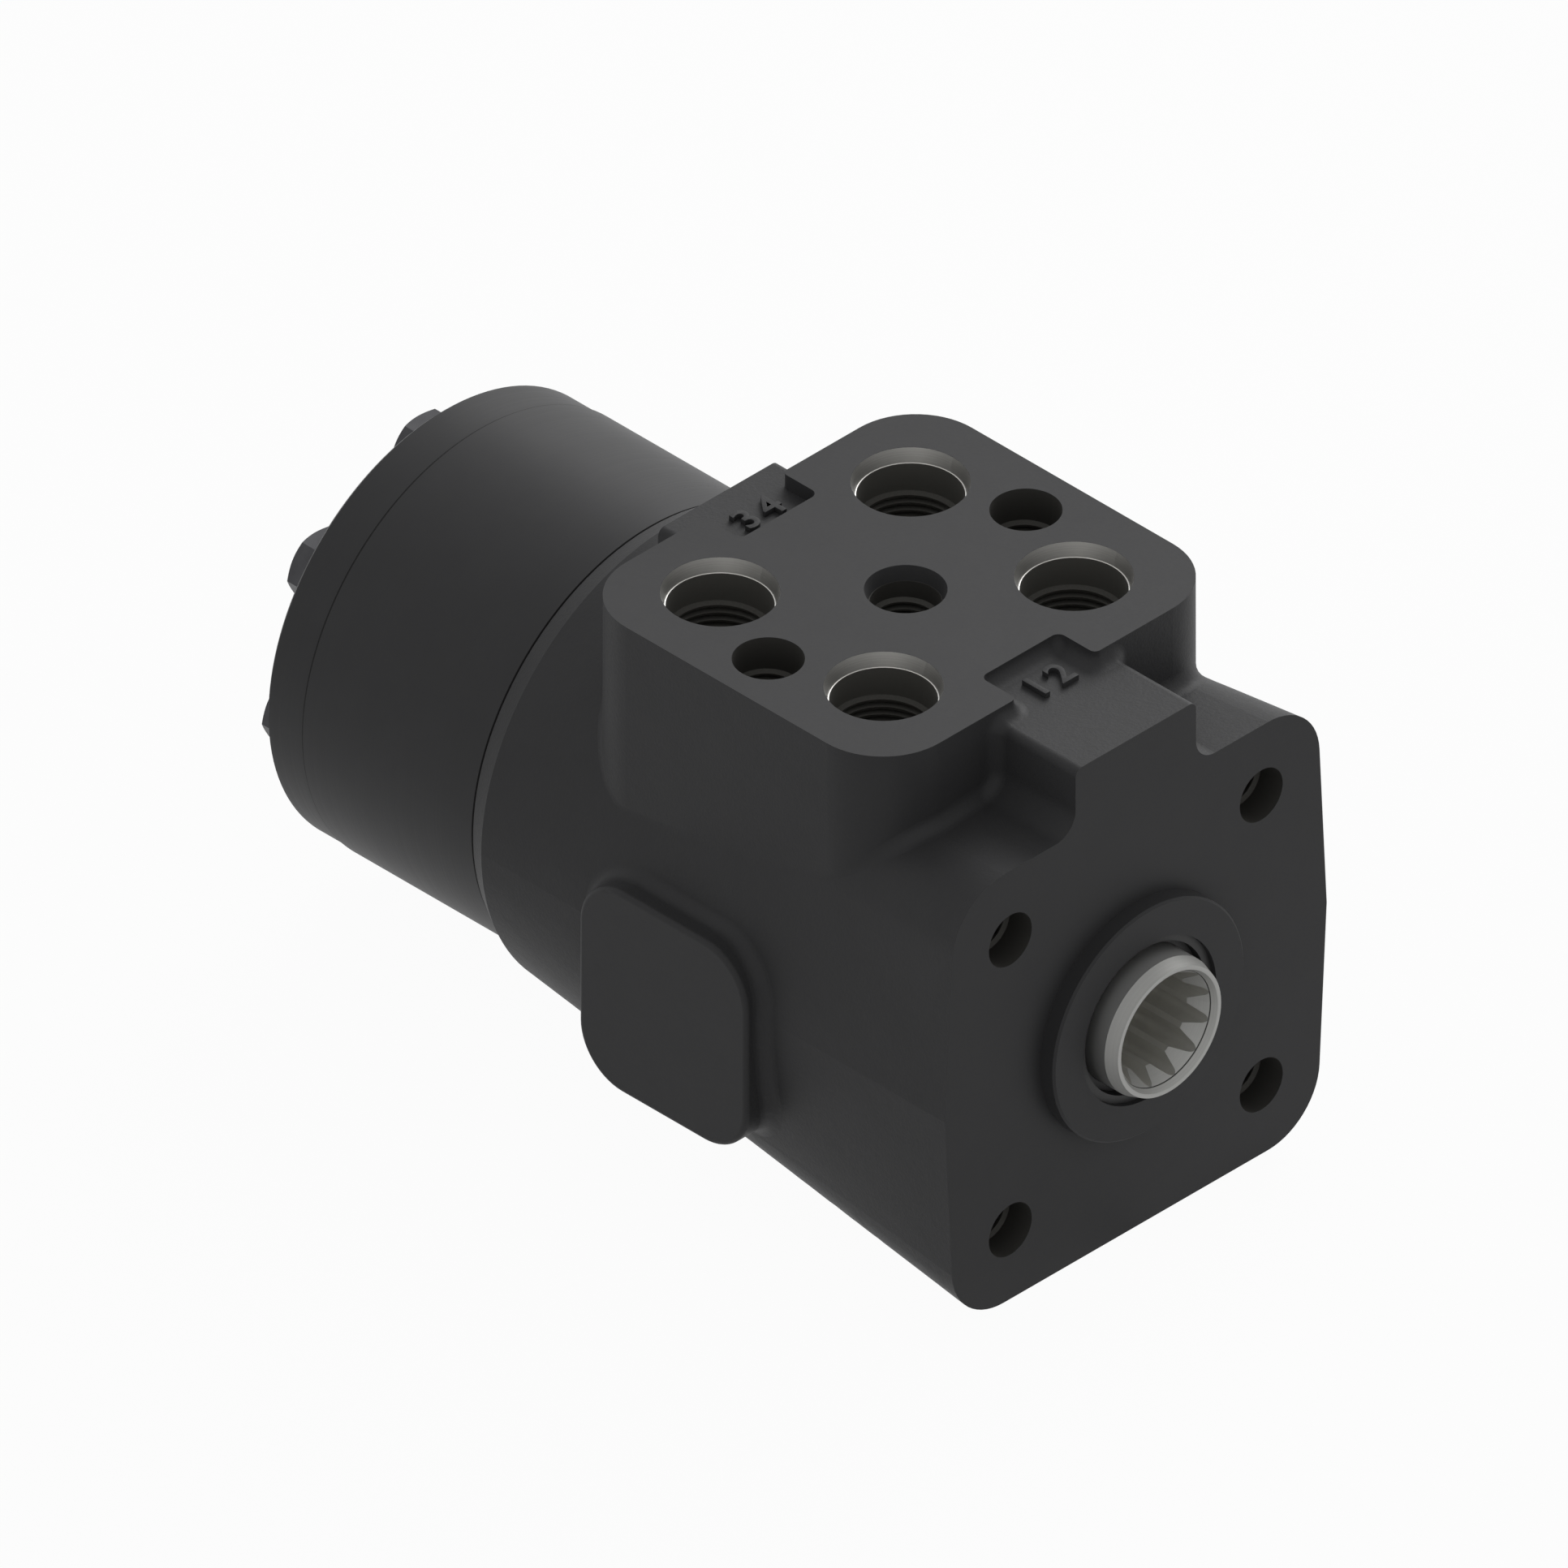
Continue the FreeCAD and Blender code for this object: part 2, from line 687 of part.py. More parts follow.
def slanted_hole(name, start, end, radius):
    """A round cutter between two points (x, y, z)."""
    start = [as_measure(value) for value in start]
    end = [as_measure(value) for value in end]
    first, last = [Vector(*[value.number for value in point]) for point in (start, end)]
    run = [b - a for a, b in zip(start, end)]
    hole = doc.addObject("Part::Cylinder", name)
    hole.Placement = Placement(Vector(), Rotation(Vector(0, 0, 1), last - first))
    bind(hole, Radius=radius, Height=root(run[0] * run[0] + run[1] * run[1] + run[2] * run[2]),
         Placement__Base__x=start[0], Placement__Base__y=start[1], Placement__Base__z=start[2])
    return [hole]


def make_bore_cutter():
    """Everything turned about the shaft axis: seal seats, bearing seat, bore and galleries."""
    galleries = []
    for middle in (GALLERY_T, GALLERY_L, GALLERY_R, GALLERY_P):
        low, high = middle - S.gallery_width / 2, middle + S.gallery_width / 2
        galleries += [(S.bore_radius, low), (GALLERY_RADIUS, low),
                      (GALLERY_RADIUS, high), (S.bore_radius, high)]
    profile = [
        (ZERO, BOSS_FACE), (DUST_SEAL_RADIUS, BOSS_FACE), (DUST_SEAL_RADIUS, DUST_SEAL_REAR),
        (SHAFT_HOLE, DUST_SEAL_REAR), (SHAFT_HOLE, SHAFT_SEAL_FRONT),
        (SHAFT_SEAL_RADIUS, SHAFT_SEAL_FRONT), (SHAFT_SEAL_RADIUS, SHAFT_SEAL_REAR),
        (SHAFT_HOLE, SHAFT_SEAL_REAR), (SHAFT_HOLE, BORE_FRONT), (S.bore_radius, BORE_FRONT),
    ] + galleries + [(S.bore_radius, S.housing_length), (ZERO, S.housing_length)]
    return round_piece("bore_cutter", profile)


def make_groove_cutter():
    """Seat of the face seal in the rear face."""
    return round_piece("rear_groove_cutter", tube_profile(
        SEAL_LOW, SEAL_HIGH, S.housing_length - S.o_ring_depth, S.housing_length))


def bolt_angles():
    """Angles of the seven cover bolts from +X towards +Z, the first one at the top."""
    return [as_measure(90) + LOBE_STEP * index for index in range(int(LOBES.number))]


def bolt_spot(angle, circle=None):
    circle = BOLT_CIRCLE if circle is None else circle
    return circle * cosine(angle), circle * sine(angle)


def port_passage(name, side, port_y, gallery_y):
    """Leads from the foot of a port down into its gallery."""
    x = S.port_x * side
    top = S.port_face_height - S.port_depth
    foot = (x, gallery_y, S.passage_foot)
    return slanted_hole(name, (x, port_y, top), foot, PASSAGE_RADIUS)


def stop_pin_spot():
    """The bolt beside the pump port stands in line with the stop pin."""
    return bolt_spot(as_measure(90) - LOBE_STEP)


def check_ball_place():
    """Ball centre at rest on the stop pin, in the middle of the pump passage."""
    pin_x, pin_z = stop_pin_spot()
    reach = S.check_ball_radius + S.stop_pin_radius + S.bearing_gap
    aside = S.port_x - pin_x
    return S.port_x, S.port_rear, pin_z + root(reach * reach - aside * aside)


def seat_foot():
    """Lower face of the valve seat: the ball meets its bore after the check travel."""
    ball_z = check_ball_place()[2]
    rise = root(S.check_ball_radius * S.check_ball_radius - S.seat_bore * S.seat_bore)
    return ball_z + S.check_travel + rise


def make_housing():
    casting = make_casting()
    tools = [make_bore_cutter(), make_groove_cutter()]
    face = S.port_face_height
    for side, across in ((-1, "left"), (1, "right")):
        x = S.port_x * side
        for y, along in ((S.port_front, "front"), (S.port_rear, "rear")):
            name = "port_%s_%s" % (along, across)
            tools += drill(name, x, y, face, "down", S.port_thread_radius, S.port_depth,
                           S.drill_point_angle)
            tools += seal_cone("%s_cone" % name, x, y, S.port_thread_radius)
        tools += drill("valve_hole_%s" % across, VALVE_HOLE_X * side, PORT_MIDDLE, face,
                       "down", S.valve_hole_radius, S.valve_hole_depth, S.drill_point_angle)
    tools += drill("centre_port", 0, CENTRE_PORT_Y, face, "down", S.centre_thread_radius,
                   S.centre_port_depth, S.drill_point_angle)
    tools += seal_cone("centre_port_cone", 0, CENTRE_PORT_Y, S.centre_thread_radius)
    tools += drill("pilot_hole", 0, CENTRE_PORT_Y, face, "down", S.pilot_hole_radius,
                   face - S.bore_radius + S.pilot_hole_radius)
    tools += drill("throttle_seat", 0, CENTRE_PORT_Y, face, "down",
                   S.throttle_radius + S.thread_clearance,
                   S.centre_port_depth + S.throttle_seat_depth)
    tools += port_passage("passage_t", 1, S.port_front, GALLERY_T)
    tools += port_passage("passage_l", -1, S.port_front, GALLERY_L)
    tools += port_passage("passage_r", -1, S.port_rear, GALLERY_R)
    tools += port_passage("passage_p", 1, S.port_rear, GALLERY_P)
    ball_x, ball_y, ball_z = check_ball_place()
    seat = seat_foot()
    tools += drill("seat_bore", ball_x, ball_y, face, "down", S.seat_radius, face - seat)
    for row in (-1, 1):
        for side in (-1, 1):
            half = S.column_hole_pitch / 2
            tools += drill("column_hole_%d_%d" % (row + 1, side + 1), half * side, 0, half * row,
                           "rear", S.column_hole_radius, S.column_hole_depth, S.drill_point_angle)
    for index, angle in enumerate(bolt_angles()):
        x, z = bolt_spot(angle)
        thread_end = BOLT_END - S.bolt_radius / 2
        tools += drill("bolt_thread_%d" % index, x, S.housing_length, z, "front",
                       S.bolt_radius + S.thread_clearance, S.housing_length - thread_end)
        between = angle + LOBE_STEP / 2
        start_x, start_z = bolt_spot(between, S.bore_radius - S.meter_passage_radius)
        end_x, end_z = bolt_spot(between, METER_CIRCLE)
        tools += slanted_hole("meter_passage_%d" % index, (start_x, METER_ROW, start_z),
                              (end_x, S.housing_length + S.meter_passage_radius, end_z),
                              S.meter_passage_radius)
    pin_x, pin_z = stop_pin_spot()
    pin_hole_end = STOP_PIN_FRONT - S.stop_pin_gap
    tools += drill("stop_pin_hole", pin_x, S.housing_length, pin_z, "front",
                   S.stop_pin_radius + S.stop_pin_clearance, S.housing_length - pin_hole_end)
    cutter = doc.addObject("Part::MultiFuse", "housing_cutters")
    cutter.Shapes = tools
    housing = doc.addObject("Part::Cut", "housing")
    housing.Base = casting
    housing.Tool = cutter
    return housing


# Plate, gear set and end cover


def plate_like(label, front, rear, inner, outer, front_chamfer, rear_chamfer=None):
    """A round plate on the shaft axis with chamfered rims and the seven bolt holes."""
    rim = [(outer - front_chamfer, front), (outer, front + front_chamfer)]
    if rear_chamfer is None:
        rim += [(outer, rear)]
    else:
        rim += [(outer, rear - rear_chamfer), (outer - rear_chamfer, rear)]
    body = round_piece(label, [(inner, front)] + rim + [(inner, rear)])
    holes = sketch_on(body, "%s_bolt_hole" % label, "XZ_Plane", -front)
    draw_circle(holes, 0, BOLT_CIRCLE, S.bolt_radius + S.bolt_hole_clearance)
    hole = pocket(body, "%s_bolt_holes" % label, holes)
    ring_pattern(body, "%s_bolt_circle" % label, hole, LOBES)
    return body


def cut_o_ring_seat(body, label, face, towards):
    """Square groove for a face seal, open at the given face; towards is +1 for a rear face."""
    seat = sketch_on(body, "%s_seal_seat" % label, "XY_Plane")
    draw(seat, tube_profile(SEAL_LOW, SEAL_HIGH, face, face - S.o_ring_depth * towards))
    turn_about(body, "Groove", "%s_seal_groove" % label, seat)


def make_distributor_plate():
    body = plate_like("distributor_plate", S.housing_length, PLATE_REAR, S.plate_bore_radius,
                      S.ring_outer_radius, S.joint_chamfer)
    ways = sketch_on(body, "plate_way", "XZ_Plane", -S.housing_length)
    x, z = bolt_spot(as_measure(90) + LOBE_STEP / 2, METER_CIRCLE)
    draw_circle(ways, x, z, S.plate_hole_radius)
    way = pocket(body, "plate_ways", ways)
    ring_pattern(body, "plate_way_circle", way, LOBES)
    cut_o_ring_seat(body, "plate", PLATE_REAR, 1)
    return body


def make_gear_ring():
    body = round_piece("gear_ring", [
        (VALLEY_RADIUS, PLATE_REAR), (S.ring_outer_radius, PLATE_REAR),
        (S.ring_outer_radius, RING_REAR - S.rim_chamfer),
        (S.ring_outer_radius - S.rim_chamfer, RING_REAR), (VALLEY_RADIUS, RING_REAR),
    ])
    lobe = sketch_on(body, "ring_lobe_outline", "XZ_Plane", -PLATE_REAR)
    draw_circle(lobe, 0, LOBE_CIRCLE, S.lobe_radius)
    lobes = pad(body, "ring_lobe", lobe, S.ring_width, reverse=True)
    ring_pattern(body, "ring_lobes", lobes, LOBES)
    holes = sketch_on(body, "ring_bolt_hole", "XZ_Plane", -PLATE_REAR)
    draw_circle(holes, 0, BOLT_CIRCLE, S.bolt_radius + S.bolt_hole_clearance)
    hole = pocket(body, "ring_bolt_holes", holes)
    ring_pattern(body, "ring_bolt_circle", hole, LOBES)
    return body


def make_end_cover():
    body = plate_like("end_cover", RING_REAR, COVER_REAR, ZERO, COVER_RADIUS, S.rim_chamfer,
                      S.cover_chamfer)
    cut_o_ring_seat(body, "cover", RING_REAR, -1)
    return body


def tooth_space(inner, outer, pitch_radius, width, angle, widening):
    """Flat sided space between two spline teeth; widening is +1 where it opens outwards."""
    flank = tangent(S.spline_flank_angle) * widening
    low = width / 2 + (inner - pitch_radius) * flank
    high = width / 2 + (outer - pitch_radius) * flank
    return [turned(inner, -low, angle), turned(outer, -high, angle),
            turned(outer, high, angle), turned(inner, low, angle)]


def rounded_tooth_space(inner, outer, pitch_radius, width, angle):
    """Flat sided space that narrows outwards and ends in a full round."""
    lean = S.spline_flank_angle
    low = width / 2 - (inner - pitch_radius) * tangent(lean)
    wall = width / 2 - (outer - pitch_radius) * tangent(lean)
    tip = wall / (cosine(lean) - tangent(lean) * (as_measure(1) - sine(lean)))
    half, reach = tip * cosine(lean), outer - tip * (as_measure(1) - sine(lean))
    return [turned(inner, low, angle), turned(inner, -low, angle),
            turned(reach, -half, angle) + (tip,), turned(reach, half, angle)]


def star_curve():
    """Offset trochoid: the path of a ring lobe seen from the rolling star, less its radius."""
    teeth = int(S.star_teeth.number)
    reach, offset = LOBE_CIRCLE.number, S.lobe_radius.number + S.gear_clearance.number
    lift = S.eccentricity.number
    steps = 16
    points = []
    for step in range(teeth * steps):
        share = step / steps
        # The points stand closer in the valleys, where the curve is quickest.
        eased = share - 0.65 * math.sin(2 * math.pi * share) / (2 * math.pi)
        turn = 2 * math.pi / teeth * eased
        # The star sits one eccentricity below the shaft axis, in mesh with the top lobe.
        swing = turn * (teeth + 1) + math.pi - math.pi / 2 * teeth
        place = Vector(reach * math.cos(turn), reach * math.sin(turn), 0)
        place -= Vector(lift * math.cos(swing), lift * math.sin(swing), 0)
        speed = Vector(-reach * math.sin(turn), reach * math.cos(turn), 0)
        speed -= Vector(-math.sin(swing), math.cos(swing), 0) * lift * (teeth + 1)
        inward = Vector(-speed.y, speed.x, 0).normalize()
        points.append(place + inward * offset)
    curve = Part.BSplineCurve()
    curve.interpolate(Points=points, PeriodicFlag=True)
    return curve


def make_gear_star():
    """Six lobes outside, twelve spline teeth inside; drawn about its own centre."""
    body = new_body("gear_star")
    outline = sketch_on(body, "star_outline", "XZ_Plane")
    outline.addGeometry(star_curve(), False)
    outline.addConstraint(Sketcher.Constraint("Block", 0))
    pad(body, "star_blank", outline, S.ring_width - S.star_side_clearance * 2, reverse=True)
    bore = sketch_on(body, "star_bore_outline", "XZ_Plane")
    draw_circle(bore, 0, 0, STAR_MINOR)
    pocket(body, "star_bore", bore)
    space = sketch_on(body, "star_space_outline", "XZ_Plane")
    draw(space, tooth_space(STAR_MINOR - S.drive_crown, STAR_MAJOR,
                            S.drive_pitch_radius, S.drive_tooth + S.drive_tooth_clearance, ZERO,
                            -1))
    spaces = pocket(body, "star_space", space)
    ring_pattern(body, "star_spaces", spaces, S.spline_teeth)
    bind(body, Placement__Base__y=PLATE_REAR + S.star_side_clearance,
         Placement__Base__z=-S.eccentricity)
    return body


def make_star_spacer():
    front = STAR_MIDDLE + S.drive_head_length / 2 + S.spacer_gap
    rear = RING_REAR - S.star_side_clearance
    body = new_body("star_spacer")
    sketch = sketch_on(body, "star_spacer_outline", "XZ_Plane", -front)
    draw_circle(sketch, 0, -S.eccentricity, STAR_MINOR - S.spacer_clearance)
    pad(body, "star_spacer_disc", sketch, rear - front, reverse=True)
    return body


# Bolts, washers and face seals


def bolt_spots():
    return [bolt_spot(angle) for angle in bolt_angles()]


def make_cover_bolts():
    """Seven hexagon head bolts, all with the same flats upwards."""
    body = new_body("cover_bolts")
    body.AllowCompound = True
    shanks = sketch_on(body, "shank_outline", "XZ_Plane", -BOLT_END)
    heads = sketch_on(body, "hexagon_outline", "XZ_Plane", -HEAD_SEAT)
    corner = S.hex_across_flats / 2 / cosine(as_measure(30))
    half, flat = corner / 2, S.hex_across_flats / 2
    for x, z in bolt_spots():
        draw_circle(shanks, x, z, S.bolt_radius)
        draw(heads, [(x + corner, z), (x + half, z + flat), (x - half, z + flat),
                     (x - corner, z), (x - half, z - flat), (x + half, z - flat)])
    pad(body, "shanks", shanks, S.bolt_length, reverse=True)
    pad(body, "heads", heads, S.hex_height, reverse=True)
    top, reach = HEAD_SEAT + S.hex_height, half
    fall = reach * tangent(S.hex_chamfer_angle)
    for index, (x, z) in enumerate(bolt_spots()):
        bevel = sketch_on(body, "bevel_outline_%d" % index, "YZ_Plane", x)
        draw(bevel, [(top, z + flat), (top, z + flat + reach), (top - fall, z + flat + reach)])
        draw_axis(bevel, BOLT_END, z, top, z)
        turn_about(body, "Groove", "head_bevel_%d" % index, bevel, "Axis0")
    return body


def make_bolt_washers():
    body = new_body("bolt_washers")
    body.AllowCompound = True
    discs = sketch_on(body, "washer_outline", "XZ_Plane", -COVER_REAR)
    for x, z in bolt_spots():
        draw_circle(discs, x, z, S.washer_radius)
        draw_circle(discs, x, z, S.bolt_radius + S.bolt_hole_clearance)
    pad(body, "washers", discs, S.washer_thickness, reverse=True)
    return body


def make_o_ring(label, face, towards):
    """A face seal pressed flat in its groove; towards is +1 where the groove opens to the rear."""
    low, high = SEAL_LOW + S.o_ring_clearance, SEAL_HIGH - S.o_ring_clearance
    near, far = (face - S.o_ring_depth, face) if towards > 0 else (face, face + S.o_ring_depth)
    corner = S.o_ring_corner
    return round_piece(label, [
        (low + corner, near), (high - corner, near), (high, near + corner), (high, far - corner),
        (high - corner, far), (low + corner, far), (low, far - corner), (low, near + corner),
    ])


# Thrust bearing and seals at the front


def make_race(label, front):
    return round_piece(label, tube_profile(
        RACE_BORE, RACE_RADIUS, front, front + S.race_thickness))


def make_bearing_cage():
    front, rear = NEEDLE_MIDDLE - S.cage_thickness / 2, NEEDLE_MIDDLE + S.cage_thickness / 2
    body = round_piece("bearing_cage", tube_profile(
        RACE_BORE + S.cage_clearance, RACE_RADIUS - S.cage_clearance, front, rear))
    slot = sketch_on(body, "cage_slot_outline", "XZ_Plane", -front)
    half_length = NEEDLE_LENGTH / 2 + S.bearing_gap
    half_width = S.needle_radius + S.bearing_gap
    draw(slot, rectangle(-half_width, half_width, NEEDLE_CIRCLE - half_length,
                         NEEDLE_CIRCLE + half_length))
    slots = pocket(body, "cage_slot", slot)
    ring_pattern(body, "cage_slots", slots, S.needle_count)
    return body


def make_bearing_needles():
    body = new_body("bearing_needles")
    body.AllowCompound = True
    outline = sketch_on(body, "needle_outline", "XY_Plane", NEEDLE_CIRCLE - NEEDLE_LENGTH / 2)
    draw_circle(outline, 0, NEEDLE_MIDDLE, S.needle_radius)
    needle = pad(body, "needle", outline, NEEDLE_LENGTH)
    ring_pattern(body, "needle_set", needle, S.needle_count)
    return body


def make_dust_seal():
    """Scraper ring: a body in the recess and a lip that reaches in to the shaft at its rear."""
    inner = S.stub_radius + S.dust_seal_gap
    lip_front = DUST_SEAL_REAR - S.dust_lip_length
    outer = DUST_SEAL_RADIUS - S.seal_fit
    return round_piece("dust_seal", [
        (inner, DUST_SEAL_FRONT), (outer, DUST_SEAL_FRONT), (outer, DUST_SEAL_REAR),
        (SEAL_LIP, DUST_SEAL_REAR), (SEAL_LIP, lip_front), (inner, lip_front),
    ])


def make_shaft_seal():
    """Cup seal: two flanks with an open groove that faces the oil."""
    lip, outer = SEAL_LIP, SHAFT_SEAL_RADIUS - S.seal_fit
    front, rear = SHAFT_SEAL_FRONT, SHAFT_SEAL_REAR
    flank = (outer - lip) / 3
    groove = front + S.shaft_seal_width / 2
    return round_piece("shaft_seal", [
        (lip, front), (outer, front), (outer, rear), (outer - flank, rear),
        (outer - flank, groove), (lip + flank, groove), (lip + flank, rear), (lip, rear),
    ])


# Rotary valve: spool and sleeve with the pin and springs between them


def cross_hole(body, name, y, radius):
    """A hole right across the shaft axis, along X."""
    outline = sketch_on(body, "%s_outline" % name, "YZ_Plane", -S.bore_radius)
    draw_circle(outline, y, 0, radius)
    pocket(body, name, outline, reverse=True)


def hole_row(body, name, y, radius, count):
    """A row of holes in the wall of a tube, evenly about the shaft axis."""
    outline = sketch_on(body, "%s_outline" % name, "XY_Plane")
    draw_circle(outline, 0, y, radius)
    hole = pocket(body, name, outline, reverse=True)
    ring_pattern(body, "%s_row" % name, hole, count)


def spring_slot(body, name):
    """Slot along Z, right across, that holds the spring leaves."""
    outline = sketch_on(body, "%s_outline" % name, "XY_Plane", -S.bore_radius)
    draw(outline, rectangle(-S.spring_slot_half, S.spring_slot_half, S.spring_slot_front,
                            SPRING_SLOT_REAR))
    return pocket(body, name, outline, reverse=True)


def make_spool():
    body = round_piece("spool", [
        (STUB_TIP - S.rim_width, STUB_END), (STUB_TIP, STUB_END),
        (S.stub_radius, STUB_END + S.nose_length), (S.stub_radius, SLEEVE_FRONT + S.spool_setback),
        (SPOOL_RADIUS, SLEEVE_FRONT + S.spool_setback), (SPOOL_RADIUS, SPOOL_END),
        (S.spool_bore, SPOOL_END), (S.spool_bore, S.spool_web_rear),
        (ZERO, S.spool_web_rear), (ZERO, S.spool_web_front),
        (S.spline_minor_radius, S.spool_web_front),
        (S.spline_minor_radius, STUB_END + S.lead_in_length),
    ])
    space = sketch_on(body, "spline_space_outline", "XZ_Plane", -STUB_END)
    draw(space, rounded_tooth_space(
        S.spline_minor_radius - S.shaft_hole_clearance, S.spline_major_radius,
        S.spline_pitch_radius, S.spline_space, S.spline_phase))
    spaces = pocket(body, "spline_space", space, S.spline_depth)
    ring_pattern(body, "spline_spaces", spaces, S.spline_teeth)
    groove = sketch_on(body, "oil_groove_outline", "XY_Plane", SPOOL_RADIUS)
    draw(groove, rectangle(-S.spool_groove_width / 2, S.spool_groove_width / 2,
                           GALLERY_L + S.spool_groove_run, METER_ROW + S.spool_groove_run))
    grooves = pocket(body, "oil_groove", groove, S.spool_groove_depth)
    ring_pattern(body, "oil_grooves", grooves, S.star_teeth)
    cross_hole(body, "spool_pin_hole", S.pin_y, S.pin_radius + S.pin_swing_clearance)
    spring_slot(body, "spool_spring_slot")
    return body


def make_sleeve():
    outer, inner = SLEEVE_RADIUS, SLEEVE_BORE
    waist = SPRING_RING_BORE - S.spring_ring_gap
    waist_front = S.spring_slot_front - S.spring_ring_gap * 4
    waist_rear = SPRING_SLOT_REAR + S.spring_ring_gap * 4
    groove_foot = outer - S.sleeve_groove_depth
    sleeve_end = S.housing_length - S.sleeve_end_gap
    grooves = []
    for middle in (GALLERY_L, GALLERY_R, GALLERY_P):
        low, high = middle - S.sleeve_groove_width / 2, middle + S.sleeve_groove_width / 2
        grooves += [(outer, low), (groove_foot, low), (groove_foot, high), (outer, high)]
    body = round_piece("sleeve", [
        (inner, SLEEVE_FRONT), (outer, SLEEVE_FRONT), (outer, waist_front),
        (waist, waist_front), (waist, waist_rear), (outer, waist_rear),
    ] + grooves + [(outer, sleeve_end), (inner, sleeve_end)])
    cross_hole(body, "sleeve_pin_hole", S.pin_y, S.pin_radius + S.pin_fit)
    spring_slot(body, "sleeve_spring_slot")
    for name, y in (("t", GALLERY_T), ("l", GALLERY_L), ("r", GALLERY_R), ("p", GALLERY_P)):
        hole_row(body, "sleeve_holes_%s" % name, y, S.sleeve_hole_radius, S.star_teeth)
    hole_row(body, "sleeve_meter_holes", METER_ROW, S.meter_hole_radius, S.star_teeth * 2)
    return body


def make_cross_pin():
    body = new_body("cross_pin")
    half = S.bore_radius - S.pin_end_gap
    outline = sketch_on(body, "pin_outline", "YZ_Plane", -half)
    draw_circle(outline, S.pin_y, 0, S.pin_radius)
    pad(body, "pin", outline, half * 2)
    return body


def leaf_sketch(body, name):
    return sketch_on(body, name, "XZ_Plane", -(S.spring_slot_front + S.spring_side_gap))


LEAF_WIDTH = S.spring_slot_width - S.spring_side_gap * 2
LEAF_HALF = SPRING_RING_BORE - S.spring_end_gap


def make_flat_springs():
    """Two flat leaves in the middle of the spring slot."""
    body = new_body("flat_springs")
    body.AllowCompound = True
    leaves = leaf_sketch(body, "flat_leaf_outline")
    near, half = S.leaf_gap / 2, LEAF_HALF
    far = near + S.flat_spring_thickness
    draw(leaves, rectangle(near, far, -half, half))
    draw(leaves, rectangle(-far, -near, -half, half))
    pad(body, "flat_leaves", leaves, LEAF_WIDTH, reverse=True)
    return body


def make_bowed_springs():
    """Two bowed leaves on each side of the flat ones, with their ends against the slot."""
    body = new_body("bowed_springs")
    body.AllowCompound = True
    leaves = leaf_sketch(body, "bowed_leaf_outline")
    half, rise, thick = LEAF_HALF, S.bowed_spring_rise, S.bowed_spring_thickness
    radius = (half * half + rise * rise) / (rise * 2)
    first = S.leaf_gap * 1.5 + S.flat_spring_thickness
    for near in (first, first + thick + S.leaf_gap):
        inner, outer = near + rise, near + rise + thick
        draw(leaves, [(inner, -half, -radius), (inner, half), (outer, half, radius), (outer, -half)])
        draw(leaves, [(-inner, -half, radius), (-inner, half), (-outer, half, -radius),
                      (-outer, -half)])
    pad(body, "bowed_leaves", leaves, LEAF_WIDTH, reverse=True)
    return body


def make_spring_ring():
    front = S.spring_slot_front - S.spring_ring_gap * 2
    rear = SPRING_SLOT_REAR + S.spring_ring_gap * 2
    return round_piece("spring_ring", tube_profile(
        SPRING_RING_BORE, RACE_RADIUS, front, rear))


# Drive shaft


def make_drive_shaft():
    """Fork on the cross pin in front, crowned spline in the star behind, leaning to the star."""
    head_front = STAR_MIDDLE - S.drive_head_length / 2
    head_rear = STAR_MIDDLE + S.drive_head_length / 2
    half, crown = S.drive_head_length / 2, S.drive_crown
    barrel = (half * half + crown * crown) / (crown * 2)
    edge = S.drive_major_radius - crown
    neck = edge - S.shank_radius
    fork_rear = FORK_FRONT + S.fork_length
    body = round_piece("drive_shaft", [
        (ZERO, FORK_FRONT), (FORK_RADIUS, FORK_FRONT), (FORK_RADIUS, fork_rear),
        (S.shank_radius, fork_rear + S.shank_chamfer), (S.shank_radius, head_front - neck),
        (edge, head_front, barrel), (edge, head_rear), (ZERO, head_rear),
    ])
    pitch = S.drive_pitch_radius
    width = pitch * 2 * math.pi / S.spline_teeth - S.drive_tooth
    space = sketch_on(body, "drive_space_outline", "XZ_Plane", neck - head_front)
    draw(space, tooth_space(S.drive_minor_radius, STAR_MAJOR + crown, pitch, width,
                            as_measure(180) / S.spline_teeth, 1))
    spaces = pocket(body, "drive_space", space)
    ring_pattern(body, "drive_spaces", spaces, S.spline_teeth)
    slot = sketch_on(body, "fork_slot_outline", "YZ_Plane", -FORK_RADIUS)
    deep, wide = FORK_FRONT + S.fork_slot_depth, S.pin_radius + S.fork_pin_clearance
    draw(slot, [(FORK_FRONT - wide, -wide), (deep - wide, -wide, wide), (deep, ZERO, wide),
                (deep - wide, wide), (FORK_FRONT - wide, wide)])
    pocket(body, "fork_slot", slot, reverse=True)
    lean = math.degrees(math.asin(S.eccentricity.number / (STAR_MIDDLE - S.pin_y).number))
    pivot = Vector(0, S.pin_y.number, 0)
    body.Placement = Placement(Vector(), Rotation(Vector(1, 0, 0), -lean), pivot)
    return body


# Check valve, its stop and the throttle in the centre port


def upright_tube(label, x, y, z, outer, inner, height):
    """A tube that stands on (x, y, z)."""
    walls = []
    for name, radius in (("wall", outer), ("way", inner)):
        cylinder = doc.addObject("Part::Cylinder", "%s_%s" % (label, name))
        bind(cylinder, Radius=radius, Height=height, Placement__Base__x=x,
             Placement__Base__y=y, Placement__Base__z=z)
        walls.append(cylinder)
    tube = doc.addObject("Part::Cut", label)
    tube.Base, tube.Tool = walls
    return tube


